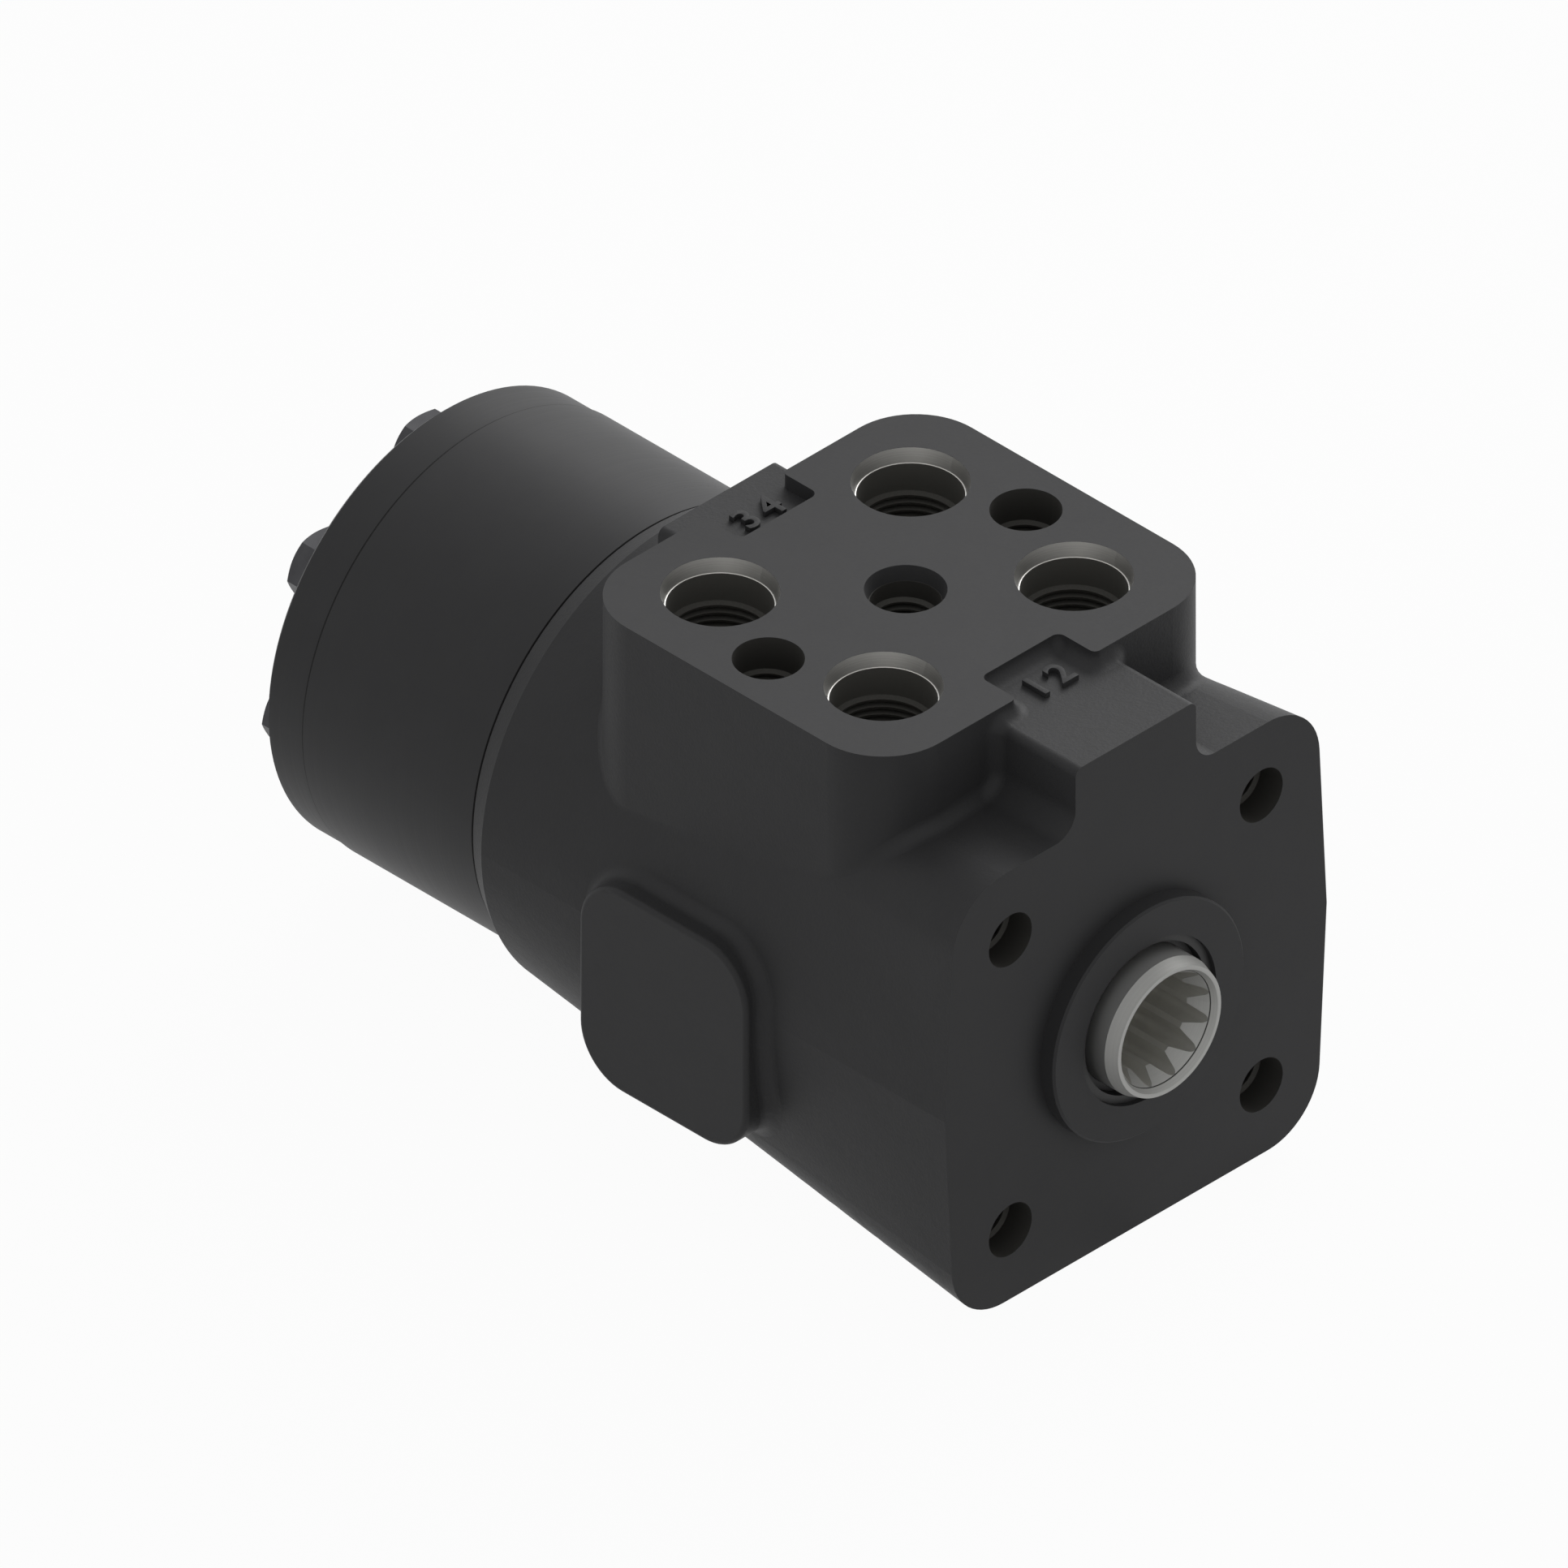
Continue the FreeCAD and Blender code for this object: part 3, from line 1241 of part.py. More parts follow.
def make_check_ball():
    x, y, z = check_ball_place()
    ball = doc.addObject("Part::Sphere", "check_ball")
    bind(ball, Radius=S.check_ball_radius, Placement__Base__x=x, Placement__Base__y=y,
         Placement__Base__z=z)
    return ball


def make_check_valve_seat():
    return upright_tube("check_valve_seat", S.port_x, S.port_rear, seat_foot(),
                        S.seat_radius - S.seat_fit, S.seat_bore, S.seat_height)


def make_ball_stop_pin():
    x, z = stop_pin_spot()
    pin = doc.addObject("Part::Cylinder", "ball_stop_pin")
    pin.Placement = Placement(Vector(), Rotation(Vector(1, 0, 0), -90))
    bind(pin, Radius=S.stop_pin_radius, Height=BOLT_END - S.stop_pin_gap - STOP_PIN_FRONT,
         Placement__Base__x=x, Placement__Base__y=STOP_PIN_FRONT, Placement__Base__z=z)
    return pin


def make_throttle_screw():
    """Slotted screw with a fine hole, at the foot of the centre port."""
    foot = S.port_face_height - S.centre_port_depth - S.throttle_seat_depth
    tube = upright_tube("throttle_blank", ZERO, CENTRE_PORT_Y, foot, S.throttle_radius,
                        S.throttle_bore, S.throttle_height)
    slot = doc.addObject("Part::Box", "throttle_slot")
    width, half = S.throttle_slot, S.throttle_radius * 1.1
    bind(slot, Length=half * 2, Width=width, Height=width * 2, Placement__Base__x=-half,
         Placement__Base__y=CENTRE_PORT_Y - width / 2,
         Placement__Base__z=foot + S.throttle_height - width)
    screw = doc.addObject("Part::Cut", "throttle_screw")
    screw.Base, screw.Tool = tube, slot
    return screw


PARTS = [
    make_housing(), make_distributor_plate(), make_gear_ring(), make_gear_star(),
    make_star_spacer(), make_end_cover(), make_cover_bolts(), make_bolt_washers(),
    make_o_ring("o_ring_housing", S.housing_length, 1), make_o_ring("o_ring_plate", PLATE_REAR, 1),
    make_o_ring("o_ring_cover", RING_REAR, -1),
    make_race("bearing_outer_race", OUTER_RACE_FRONT), make_bearing_cage(),
    make_bearing_needles(), make_race("bearing_inner_race", INNER_RACE_FRONT),
    make_dust_seal(), make_shaft_seal(), make_spool(), make_sleeve(), make_cross_pin(),
    make_flat_springs(), make_bowed_springs(), make_spring_ring(), make_drive_shaft(),
    make_check_ball(), make_check_valve_seat(), make_ball_stop_pin(), make_throttle_screw(),
]

doc.recompute()
for item in doc.Objects:
    if "Invalid" in item.State or "Error" in item.State:
        raise RuntimeError("%s could not be built: %s" % (item.Label, item.getStatusString()))
for part in PARTS:
    if part.Shape.isNull() or not part.Shape.isValid() or not part.Shape.Solids:
        raise RuntimeError("%s has no sound solid" % part.Label)

os.makedirs("parts", exist_ok=True)
for part in PARTS:
    part.Shape.exportStep("parts/%s.step" % part.Label)
    print("%-20s solids %2d  volume %9.1f mm3" % (
        part.Label, len(part.Shape.Solids), part.Shape.Volume))
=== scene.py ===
import math

import bpy
from mathutils import Euler, Matrix, Vector


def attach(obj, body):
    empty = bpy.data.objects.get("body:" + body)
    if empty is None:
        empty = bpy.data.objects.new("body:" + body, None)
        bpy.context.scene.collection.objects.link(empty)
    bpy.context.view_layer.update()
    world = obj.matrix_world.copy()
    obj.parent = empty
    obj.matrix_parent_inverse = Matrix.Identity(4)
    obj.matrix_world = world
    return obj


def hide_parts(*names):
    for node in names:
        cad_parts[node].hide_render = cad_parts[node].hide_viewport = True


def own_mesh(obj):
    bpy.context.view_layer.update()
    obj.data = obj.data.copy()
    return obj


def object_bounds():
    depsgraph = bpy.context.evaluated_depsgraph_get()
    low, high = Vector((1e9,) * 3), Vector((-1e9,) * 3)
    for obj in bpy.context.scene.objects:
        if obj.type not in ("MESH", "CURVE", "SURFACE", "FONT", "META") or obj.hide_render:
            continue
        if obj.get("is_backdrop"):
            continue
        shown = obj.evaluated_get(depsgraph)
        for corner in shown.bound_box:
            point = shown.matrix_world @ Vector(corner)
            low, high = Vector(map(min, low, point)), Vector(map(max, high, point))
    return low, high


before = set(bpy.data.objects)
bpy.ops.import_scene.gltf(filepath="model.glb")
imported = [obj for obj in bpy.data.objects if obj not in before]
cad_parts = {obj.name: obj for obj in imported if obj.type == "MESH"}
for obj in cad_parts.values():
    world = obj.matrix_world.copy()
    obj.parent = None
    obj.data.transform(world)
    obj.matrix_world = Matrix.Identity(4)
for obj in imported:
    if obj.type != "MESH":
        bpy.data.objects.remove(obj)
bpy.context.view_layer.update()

bl_info = {
    "name": "Orbital Steering Unit Looks",
    "version": (1, 0, 0),
    "blender": (4, 5, 0),
    "location": "View3D > Sidebar > Steering Unit",
    "description": "Finishes, raised port numbers, threads and studio of a hydraulic steering unit",
    "category": "Object",
}

MM = 0.001

# Places on the casting and behind it, in millimetres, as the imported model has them.
PORT_FACE_Z = 58.5
SEAT_Z = 55.9
LEDGE_Z = 55.7
PORT_X = 22.15
PORT_MIDDLE_Y = 55.5
PORT_HALF_STEP_Y = 19.0
CENTRE_PORT_Y = 53.5
VALVE_HOLE_X = 29.95
COLUMN_HOLE_STEP = 29.17
PAD_FACE_X = -48.2
HOUSING_REAR_Y = 112.7
RING_REAR_Y = 152.5
STAR_CENTRE_Z = -2.5

# Radii of the tapped holes, in millimetres.
PORT_RADIUS = 9.0
VALVE_HOLE_RADIUS = 6.05
CENTRE_PORT_RADIUS = 6.0
COLUMN_HOLE_RADIUS = 5.0

# How far the finish of the holes reaches from their axes, and down or in, in millimetres.
CONE_REACH = 9.97
SMALL_HOLE_REACH = 6.1
COLUMN_HOLE_REACH = 5.05
PORT_FINISH_Z = 30
SMALL_HOLE_FINISH_Z = 25
COLUMN_HOLE_FINISH_Y = 30

# How far a finish ends from the face or the edge that it belongs to, in millimetres.
FACE_SLACK = 0.05
SEAT_SLACK = 0.04
CONE_SLACK = 0.02
LAND_SLACK = 0.1
TOOTH_SLACK = 0.06

# Where the joints of the stack are painted near-black as painted shade, in millimetres along Y.
PLATE_JOINT_SHADE = (HOUSING_REAR_Y - 0.1, HOUSING_REAR_Y + 0.38)
RING_JOINT_SHADE = (RING_REAR_Y - 0.22, RING_REAR_Y + 0.1)
COVER_JOINT_SHADE = (RING_REAR_Y - 0.1, RING_REAR_Y + 0.22)

# The front end of the spool: its outer land, nose, rim and mouth, in millimetres.
SPOOL_LAND_RADIUS = 12.75
SPOOL_NOSE_Y = -5.46
SPOOL_TIP_Y = -7.85
SPOOL_RIM_RADIUS = 11.25
SPLINE_LAND_RADIUS = 8.8
SPLINE_START_Y = -3.1
MOUTH_LINE_Y = -6.7
MOUTH_LINE_HALF_WIDTH = 0.1

# The paint's shine, which is the same on iron and on steel.
ENAMEL_SPECULAR = 0.16

# The raised numerals: each figure with the X and Y of its lower left corner, the width of the
# bevel, how much wider a stroke is made, how far they reach into the ledge, and the distance
# within which points are joined, in millimetres.
NUMERALS = (("1", -4.4, 18.1), ("2", 1.0, 18.1), ("3", -4.4, 85.5), ("4", 1.0, 85.5))
NUMERAL_EDGE = 0.06
NUMERAL_STROKE = 0.08
NUMERAL_SUNK = 0.1
NUMERAL_WELD = 0.002

# How high a capital of the built-in font is, as a share of its size.
CAPITAL_SHARE = 0.73

# Where the threads start, under the seats and the port face and behind the front face, how long
# they may be, and how far they reach into the wall, in millimetres.
PORT_THREAD_START = 4.6
VALVE_THREAD_START = 5.5
CENTRE_THREAD_START = 2.4
COLUMN_THREAD_START = 4.6
PORT_THREAD_LENGTH = 6.1
VALVE_THREAD_LENGTH = 15.1
CENTRE_THREAD_LENGTH = 5.0
COLUMN_THREAD_LENGTH = 12.1
THREAD_SUNK = 0.06
THREAD_STEPS = 40

# The blunt ends of a thread lie on the side of the hole that the photograph doesn't show.
UPRIGHT_THREAD_ANGLE = math.radians(225)
LEVEL_THREAD_ANGLE = math.radians(135)

# The middle of the photograph, in millimetres.
VIEW_MIDDLE = (5.1, 86.9, 0)

# The studio, in metres, and the share of white that the floor shows to the camera.
FLOOR_SIZE = 8
FLOOR_WHITE = 0.96
LAMP_PLACE = (1.15, 0.45, 0.85)
LAMP_SIZE = 1.0
VIEW_WIDTH = 0.2578
CAMERA_DISTANCE = 1.2
CAMERA_REACH = 20


def shade(code):
    """Linear colour of an sRGB hex code."""
    parts = [int(code[at:at + 2], 16) / 255 for at in (1, 3, 5)]
    return [p / 12.92 if p <= 0.04045 else ((p + 0.055) / 1.055) ** 2.4 for p in parts] + [1.0]


def add_node(tree, kind, feeds=None, **settings):
    """Adds a node, sets its properties, and gives each named input a value or a link."""
    node = tree.nodes.new("ShaderNode" + kind)
    for name, value in settings.items():
        setattr(node, name, value)
    for name, value in (feeds or {}).items():
        if isinstance(value, bpy.types.NodeSocket):
            tree.links.new(value, node.inputs[name])
        else:
            node.inputs[name].default_value = value
    return node


def new_material(name):
    """A material with an empty node tree and its output node."""
    material = bpy.data.materials.new(name)
    material.use_nodes = True
    tree = material.node_tree
    tree.nodes.clear()
    return material, tree, add_node(tree, "OutputMaterial")


def between(tree, value, low, high):
    """1 where the value lies between two lengths in millimetres, and 0 elsewhere."""
    above = add_node(tree, "Math", {0: value, 1: low * MM}, operation="GREATER_THAN").outputs[0]
    below = add_node(tree, "Math", {0: value, 1: high * MM}, operation="LESS_THAN").outputs[0]
    return add_node(tree, "Math", {0: above, 1: below}, operation="MULTIPLY").outputs[0]


def in_hole(tree, distance, reach, depth, low, high):
    """1 nearer to a hole's axis than reach and between two depths in millimetres, 0 elsewhere."""
    near = add_node(tree, "Math", {0: distance, 1: reach * MM}, operation="LESS_THAN").outputs[0]
    return add_node(tree, "Math", {0: near, 1: between(tree, depth, low, high)},
                    operation="MULTIPLY").outputs[0]


def distance_from(tree, place, centre, step=(0, 0, 0), along=(1, 1, 0)):
    """Distance from an axis at centre, or from the nearest of those a step to each side of it."""
    moved = add_node(tree, "VectorMath", {0: place, 1: [c * MM for c in centre]},
                     operation="SUBTRACT").outputs[0]
    if any(step):
        folded = add_node(tree, "VectorMath", {0: moved}, operation="ABSOLUTE").outputs[0]
        moved = add_node(tree, "VectorMath", {0: folded, 1: [s * MM for s in step]},
                         operation="SUBTRACT").outputs[0]
    flat = add_node(tree, "VectorMath", {0: moved, 1: along}, operation="MULTIPLY").outputs[0]
    return add_node(tree, "VectorMath", {0: flat}, operation="LENGTH").outputs["Value"]


def lathe_lines(tree, feed, centre=(0, 0, 0)):
    """Rings a feed in millimetres apart about the shaft axis, as a turning tool leaves them."""
    place = add_node(tree, "TexCoord").outputs["Object"]
    radius = distance_from(tree, place, centre, along=(1, 0, 1))
    along = add_node(tree, "SeparateXYZ", {0: place}).outputs["Y"]
    ring = add_node(tree, "CombineXYZ", {0: radius, 1: along}).outputs[0]
    return add_node(tree, "TexNoise", {"Vector": ring, "Scale": 1 / (feed * MM), "Detail": 2.0,
                                       "Roughness": 0.6}).outputs["Fac"]


def patches(tree, size, detail=3.0):
    """Soft uneven patches of a size in millimetres."""
    place = add_node(tree, "TexCoord").outputs["Object"]
    return add_node(tree, "TexNoise", {"Vector": place, "Scale": 1 / (size * MM),
                                       "Detail": detail, "Roughness": 0.55}).outputs["Fac"]


def seen_directly(tree):
    """1 for a ray from the camera, a reflection or a clear piece, 0 for one that gathers light."""
    path = add_node(tree, "LightPath").outputs
    seen = add_node(tree, "Math", {0: path["Is Camera Ray"], 1: path["Is Glossy Ray"]},
                    operation="MAXIMUM").outputs[0]
    return add_node(tree, "Math", {0: seen, 1: path["Is Transmission Ray"]},
                    operation="MAXIMUM").outputs[0]


def dress(names, material):
    """Gives CAD nodes a material."""
    for name in names:
        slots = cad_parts[name].data.materials
        slots.clear()
        slots.append(material)


# Materials: paints


def enamelled_cast_iron(colours):
    """Semi-matt black enamel sprayed on sand-cast grey iron.

    The eye sees a dark skin with the grain of the sand under it, smoother where the face was
    milled before painting, bare iron on the seal cones of the four large ports with a painted
    highlight on the narrow seat at their foot, and oiled iron in the holes, painted paler than it
    is as light where little reaches, and paler in the large ports than in the small holes.
    """
    material, tree, output = new_material("enamelled_cast_iron")
    place = add_node(tree, "TexCoord").outputs["Object"]
    x, y, z = add_node(tree, "SeparateXYZ", {0: place}).outputs
    top = add_node(tree, "Math", {0: z, 1: (PORT_FACE_Z - FACE_SLACK) * MM},
                   operation="GREATER_THAN").outputs[0]
    front = add_node(tree, "Math", {0: y, 1: FACE_SLACK * MM}, operation="LESS_THAN").outputs[0]
    side = add_node(tree, "Math", {0: x, 1: (PAD_FACE_X + FACE_SLACK) * MM},
                    operation="LESS_THAN").outputs[0]
    milled = add_node(tree, "Math", {0: top, 1: front}, operation="MAXIMUM").outputs[0]
    milled = add_node(tree, "Math", {0: milled, 1: side}, operation="MAXIMUM").outputs[0]

    port = distance_from(tree, place, (0, PORT_MIDDLE_Y, 0), (PORT_X, PORT_HALF_STEP_Y, 0))
    valve = distance_from(tree, place, (0, PORT_MIDDLE_Y, 0), (VALVE_HOLE_X, 0, 0))
    centre = distance_from(tree, place, (0, CENTRE_PORT_Y, 0))
    column = distance_from(tree, place, (0, 0, 0), (COLUMN_HOLE_STEP, 0, COLUMN_HOLE_STEP),
                           along=(1, 0, 1))
    seat_low, seat_high = SEAT_Z - SEAT_SLACK, SEAT_Z + SEAT_SLACK
    cone = in_hole(tree, port, CONE_REACH, z, seat_high, PORT_FACE_Z - CONE_SLACK)
    seat_highlight = in_hole(tree, port, CONE_REACH, z, seat_low, seat_high)
    holes = in_hole(tree, port, CONE_REACH, z, PORT_FINISH_Z, seat_low)
    for distance, reach, depth, low, high in (
        (valve, SMALL_HOLE_REACH, z, SMALL_HOLE_FINISH_Z, PORT_FACE_Z - FACE_SLACK),
        (centre, SMALL_HOLE_REACH, z, SMALL_HOLE_FINISH_Z, SEAT_Z + FACE_SLACK),
        (column, COLUMN_HOLE_REACH, y, FACE_SLACK, COLUMN_HOLE_FINISH_Y),
    ):
        hole = in_hole(tree, distance, reach, depth, low, high)
        holes = add_node(tree, "Math", {0: holes, 1: hole}, operation="MAXIMUM").outputs[0]

    # The paint flows out over some 10 mm, and the sand's grain is about half a millimetre.
    flow = patches(tree, 10.0)
    grain = patches(tree, 0.55, 4.0)
    lumps = patches(tree, 2.4, 2.0)
    rough_skin = add_node(tree, "Math", {0: grain, 1: lumps}, operation="ADD").outputs[0]
    share = add_node(tree, "MapRange", {"Value": milled, "To Min": 1.0, "To Max": 0.25}).outputs[0]
    relief = add_node(tree, "Math", {0: rough_skin, 1: share}, operation="MULTIPLY").outputs[0]
    bump = add_node(tree, "Bump", {"Height": relief, "Strength": 0.35, "Distance": 0.12 * MM})
    paint_colour = add_node(tree, "Mix", {0: flow, 6: shade(colours.enamel_dark),
                                          7: shade(colours.enamel_light)},
                            data_type="RGBA").outputs[2]
    gloss = add_node(tree, "MapRange", {"Value": grain, "To Min": 0.46, "To Max": 0.58}).outputs[0]
    paint = add_node(tree, "BsdfPrincipled", {
        "Base Color": paint_colour, "Roughness": gloss, "Specular IOR Level": ENAMEL_SPECULAR,
        "Normal": bump.outputs[0]})

    # The cutter leaves rings a quarter of a millimetre apart on the cones.
    ring = add_node(tree, "CombineXYZ", {0: port, 1: z}).outputs[0]
    marks = add_node(tree, "TexNoise", {"Vector": ring, "Scale": 1 / (0.25 * MM),
                                        "Detail": 1.0}).outputs["Fac"]
    cone_colour = add_node(tree, "Mix", {0: marks, 6: shade("#949390"), 7: shade("#a9a8a5")},
                           data_type="RGBA").outputs[2]
    # The narrow seat at the foot of each cone is painted near white: a painted highlight.
    bare_colour = add_node(tree, "Mix", {0: seat_highlight, 6: cone_colour, 7: shade("#e4e3e0")},
                           data_type="RGBA").outputs[2]
    bare = add_node(tree, "BsdfPrincipled", {"Base Color": bare_colour, "Metallic": 1.0,
                                             "Roughness": 0.42})
    # The oiled iron of the holes is painted paler than it is, as light where little reaches, and
    # paler still in the large ports than in the small holes.
    painted_light_port = add_node(tree, "Math", {0: port, 1: CONE_REACH * MM},
                     operation="LESS_THAN").outputs[0]
    wall = add_node(tree, "Mix", {0: painted_light_port, 6: shade("#4a4946"), 7: shade("#63625e")},
                    data_type="RGBA").outputs[2]
    oiled = add_node(tree, "BsdfPrincipled", {"Base Color": wall, "Metallic": 0.35,
                                              "Roughness": 0.55, "Specular IOR Level": 0.3})
    open_iron = add_node(tree, "Math", {0: cone, 1: seat_highlight}, operation="MAXIMUM").outputs[0]
    skin = add_node(tree, "MixShader", {0: holes, 1: paint.outputs[0], 2: oiled.outputs[0]})
    whole = add_node(tree, "MixShader", {0: open_iron, 1: skin.outputs[0], 2: bare.outputs[0]})
    tree.links.new(whole.outputs[0], output.inputs["Surface"])
    return material


def enamelled_steel(name, colours, feed, line):
    """The same enamel over turned steel.

    The eye sees the black skin with faint rings round the axis where the lathe cut the rim, and
    a near-black line of painted shade along a joint of the stack.
    """
    material, tree, output = new_material(name)
    rings = lathe_lines(tree, feed)
    flow = patches(tree, 8.0)
    bump = add_node(tree, "Bump", {"Height": rings, "Strength": 0.25, "Distance": 0.05 * MM})
    painted = add_node(tree, "Mix", {0: flow, 6: shade(colours.enamel_dark),
                                     7: shade(colours.enamel_light)}, data_type="RGBA").outputs[2]
    place = add_node(tree, "TexCoord").outputs["Object"]
    y = add_node(tree, "SeparateXYZ", {0: place}).outputs["Y"]
    # A near-black band along the joint is painted shade, as in the groove between the parts.
    colour = add_node(tree, "Mix", {0: between(tree, y, *line), 6: painted,
                                    7: shade("#0c0c0c")}, data_type="RGBA").outputs[2]
    gloss = add_node(tree, "MapRange", {"Value": rings, "To Min": 0.42, "To Max": 0.54}).outputs[0]
    paint = add_node(tree, "BsdfPrincipled", {
        "Base Color": colour, "Roughness": gloss, "Specular IOR Level": ENAMEL_SPECULAR,
        "Normal": bump.outputs[0]})
    tree.links.new(paint.outputs[0], output.inputs["Surface"])
    return material


# Materials: steels and rubber


def turned_steel(name, dark, light, roughness, feed, centre=(0, 0, 0)):
    """Steel turned or ground about an axis along Y.

    The eye sees clean grey metal with fine rings, a little brighter and darker in turn.
    """
    material, tree, output = new_material(name)
    rings = lathe_lines(tree, feed, centre)
    film = patches(tree, 5.0)
    colour = add_node(tree, "Mix", {0: rings, 6: shade(dark), 7: shade(light)},
                      data_type="RGBA").outputs[2]
    worn = add_node(tree, "MapRange", {"Value": film, "To Min": roughness - 0.06,
                                       "To Max": roughness + 0.08}).outputs[0]
    bump = add_node(tree, "Bump", {"Height": rings, "Strength": 0.2, "Distance": 0.02 * MM})
    metal = add_node(tree, "BsdfPrincipled", {"Base Color": colour, "Metallic": 1.0,
                                              "Roughness": worn, "Normal": bump.outputs[0]})
    tree.links.new(metal.outputs[0], output.inputs["Surface"])
    return material


def spool_steel():
    """Case-hardened steel: the seal land ground, the nose and the mouth turned.

    The eye sees the dark of the boss blurred in the land, a matt pale nose and mouth with a fine
    dark line painted round the mouth, and a paler, patchy grey in the spline.
    """
    material, tree, output = new_material("case_hardened_spool_steel")
    place = add_node(tree, "TexCoord").outputs["Object"]
    y = add_node(tree, "SeparateXYZ", {0: place}).outputs["Y"]
    radius = distance_from(tree, place, (0, 0, 0), along=(1, 0, 1))
    outside = add_node(tree, "Math", {0: radius, 1: (SPOOL_LAND_RADIUS - LAND_SLACK) * MM},
                       operation="GREATER_THAN").outputs[0]
    behind = add_node(tree, "Math", {0: y, 1: SPOOL_NOSE_Y * MM},
                      operation="GREATER_THAN").outputs[0]
    land = add_node(tree, "Math", {0: outside, 1: behind}, operation="MULTIPLY").outputs[0]
    # The tooth spaces lie outside the cone of the mouth, which narrows from the rim to the lands.
    slope = (SPOOL_RIM_RADIUS - SPLINE_LAND_RADIUS) / (SPLINE_START_Y - SPOOL_TIP_Y)
    cone = add_node(tree, "Math", {0: y, 1: slope, 2: radius},
                    operation="MULTIPLY_ADD").outputs[0]
    cone_reach = SPOOL_RIM_RADIUS + slope * SPOOL_TIP_Y + TOOTH_SLACK
    space = add_node(tree, "Math", {0: cone, 1: cone_reach * MM},
                     operation="GREATER_THAN").outputs[0]
    deep = add_node(tree, "Math", {0: y, 1: (SPLINE_START_Y + FACE_SLACK) * MM},
                    operation="GREATER_THAN").outputs[0]
    inside = add_node(tree, "Math", {0: radius, 1: (SPOOL_RIM_RADIUS - FACE_SLACK) * MM},
                      operation="LESS_THAN").outputs[0]
    spline = add_node(tree, "Math", {0: space, 1: deep}, operation="MAXIMUM").outputs[0]
    spline = add_node(tree, "Math", {0: spline, 1: inside}, operation="MULTIPLY").outputs[0]
    # A fine dark ring is painted round the mouth, inside the rim.
    ring = between(tree, y, MOUTH_LINE_Y - MOUTH_LINE_HALF_WIDTH,
                   MOUTH_LINE_Y + MOUTH_LINE_HALF_WIDTH)
    line = add_node(tree, "Math", {0: ring, 1: inside}, operation="MULTIPLY").outputs[0]

    rings = lathe_lines(tree, 0.3)
    film = patches(tree, 3.0)
    turned = add_node(tree, "Mix", {0: rings, 6: shade("#a3a3a1"), 7: shade("#b5b5b2")},
                      data_type="RGBA").outputs[2]
    # The spline is painted a paler grey than the turned mouth.
    paler_spline = add_node(tree, "Mix", {0: film, 6: shade("#b8b7b2"), 7: shade("#cac9c3")},
                      data_type="RGBA").outputs[2]
    colour = add_node(tree, "Mix", {0: spline, 6: turned, 7: paler_spline}, data_type="RGBA").outputs[2]
    colour = add_node(tree, "Mix", {0: land, 6: colour, 7: shade("#a2a2a1")},
                      data_type="RGBA").outputs[2]
    colour = add_node(tree, "Mix", {0: line, 6: colour, 7: shade("#3d3c3a")},
                      data_type="RGBA").outputs[2]
    rough = add_node(tree, "MapRange", {"Value": land, "To Min": 0.52, "To Max": 0.5}).outputs[0]
    metal = add_node(tree, "MapRange", {"Value": land, "To Min": 0.6, "To Max": 0.8}).outputs[0]
    bump = add_node(tree, "Bump", {"Height": rings, "Strength": 0.12, "Distance": 0.02 * MM})
    steel = add_node(tree, "BsdfPrincipled", {"Base Color": colour, "Metallic": metal,
                                              "Roughness": rough, "Normal": bump.outputs[0]})
    tree.links.new(steel.outputs[0], output.inputs["Surface"])
    return material


def plain_steel(name, dark, light, roughness, grain):
    """Steel that was pressed, drawn, sintered or plated, with no direction in its surface.

    The eye sees a fine even grain and slow changes from dark to light.
    """
    material, tree, output = new_material(name)
    cloud = patches(tree, 3.0)
    fine = patches(tree, grain, 4.0)
    colour = add_node(tree, "Mix", {0: cloud, 6: shade(dark), 7: shade(light)},
                      data_type="RGBA").outputs[2]
    worn = add_node(tree, "MapRange", {"Value": fine, "To Min": roughness - 0.07,
                                       "To Max": roughness + 0.07}).outputs[0]
    bump = add_node(tree, "Bump", {"Height": fine, "Strength": 0.2, "Distance": 0.03 * MM})
    metal = add_node(tree, "BsdfPrincipled", {"Base Color": colour, "Metallic": 1.0,
                                              "Roughness": worn, "Normal": bump.outputs[0]})
    tree.links.new(metal.outputs[0], output.inputs["Surface"])
    return material


def moulded_rubber(name, code, roughness):
    """Nitrile rubber from a polished mould.

    The eye sees a dull near-black skin with faint mould rings and a trace of bloom.
    """
    material, tree, output = new_material(name)
    rings = lathe_lines(tree, 0.5)
    bloom = patches(tree, 1.5)
    colour = add_node(tree, "Mix", {0: bloom, 6: shade(code), 7: shade("#262626")},
                      data_type="RGBA").outputs[2]
    bump = add_node(tree, "Bump", {"Height": rings, "Strength": 0.15, "Distance": 0.04 * MM})
    skin = add_node(tree, "BsdfPrincipled", {"Base Color": colour, "Roughness": roughness,
                                             "Normal": bump.outputs[0]})
    tree.links.new(skin.outputs[0], output.inputs["Surface"])
    return material


def tapped_iron():
    """Grey iron with a cut thread, wet with oil.

    The eye sees dull dark flanks, a little brighter where the tap has torn the crests.
    """
    material, tree, output = new_material("tapped_cast_iron")
    torn = patches(tree, 0.4, 2.0)
    colour = add_node(tree, "Mix", {0: torn, 6: shade("#42413e"), 7: shade("#4e4d49")},
                      data_type="RGBA").outputs[2]
    bump = add_node(tree, "Bump", {"Height": torn, "Strength": 0.2, "Distance": 0.03 * MM})
    flank = add_node(tree, "BsdfPrincipled", {"Base Color": colour, "Metallic": 0.35,
                                              "Roughness": 0.55, "Specular IOR Level": 0.3,
                                              "Normal": bump.outputs[0]})
    tree.links.new(flank.outputs[0], output.inputs["Surface"])
    return material


# New pieces


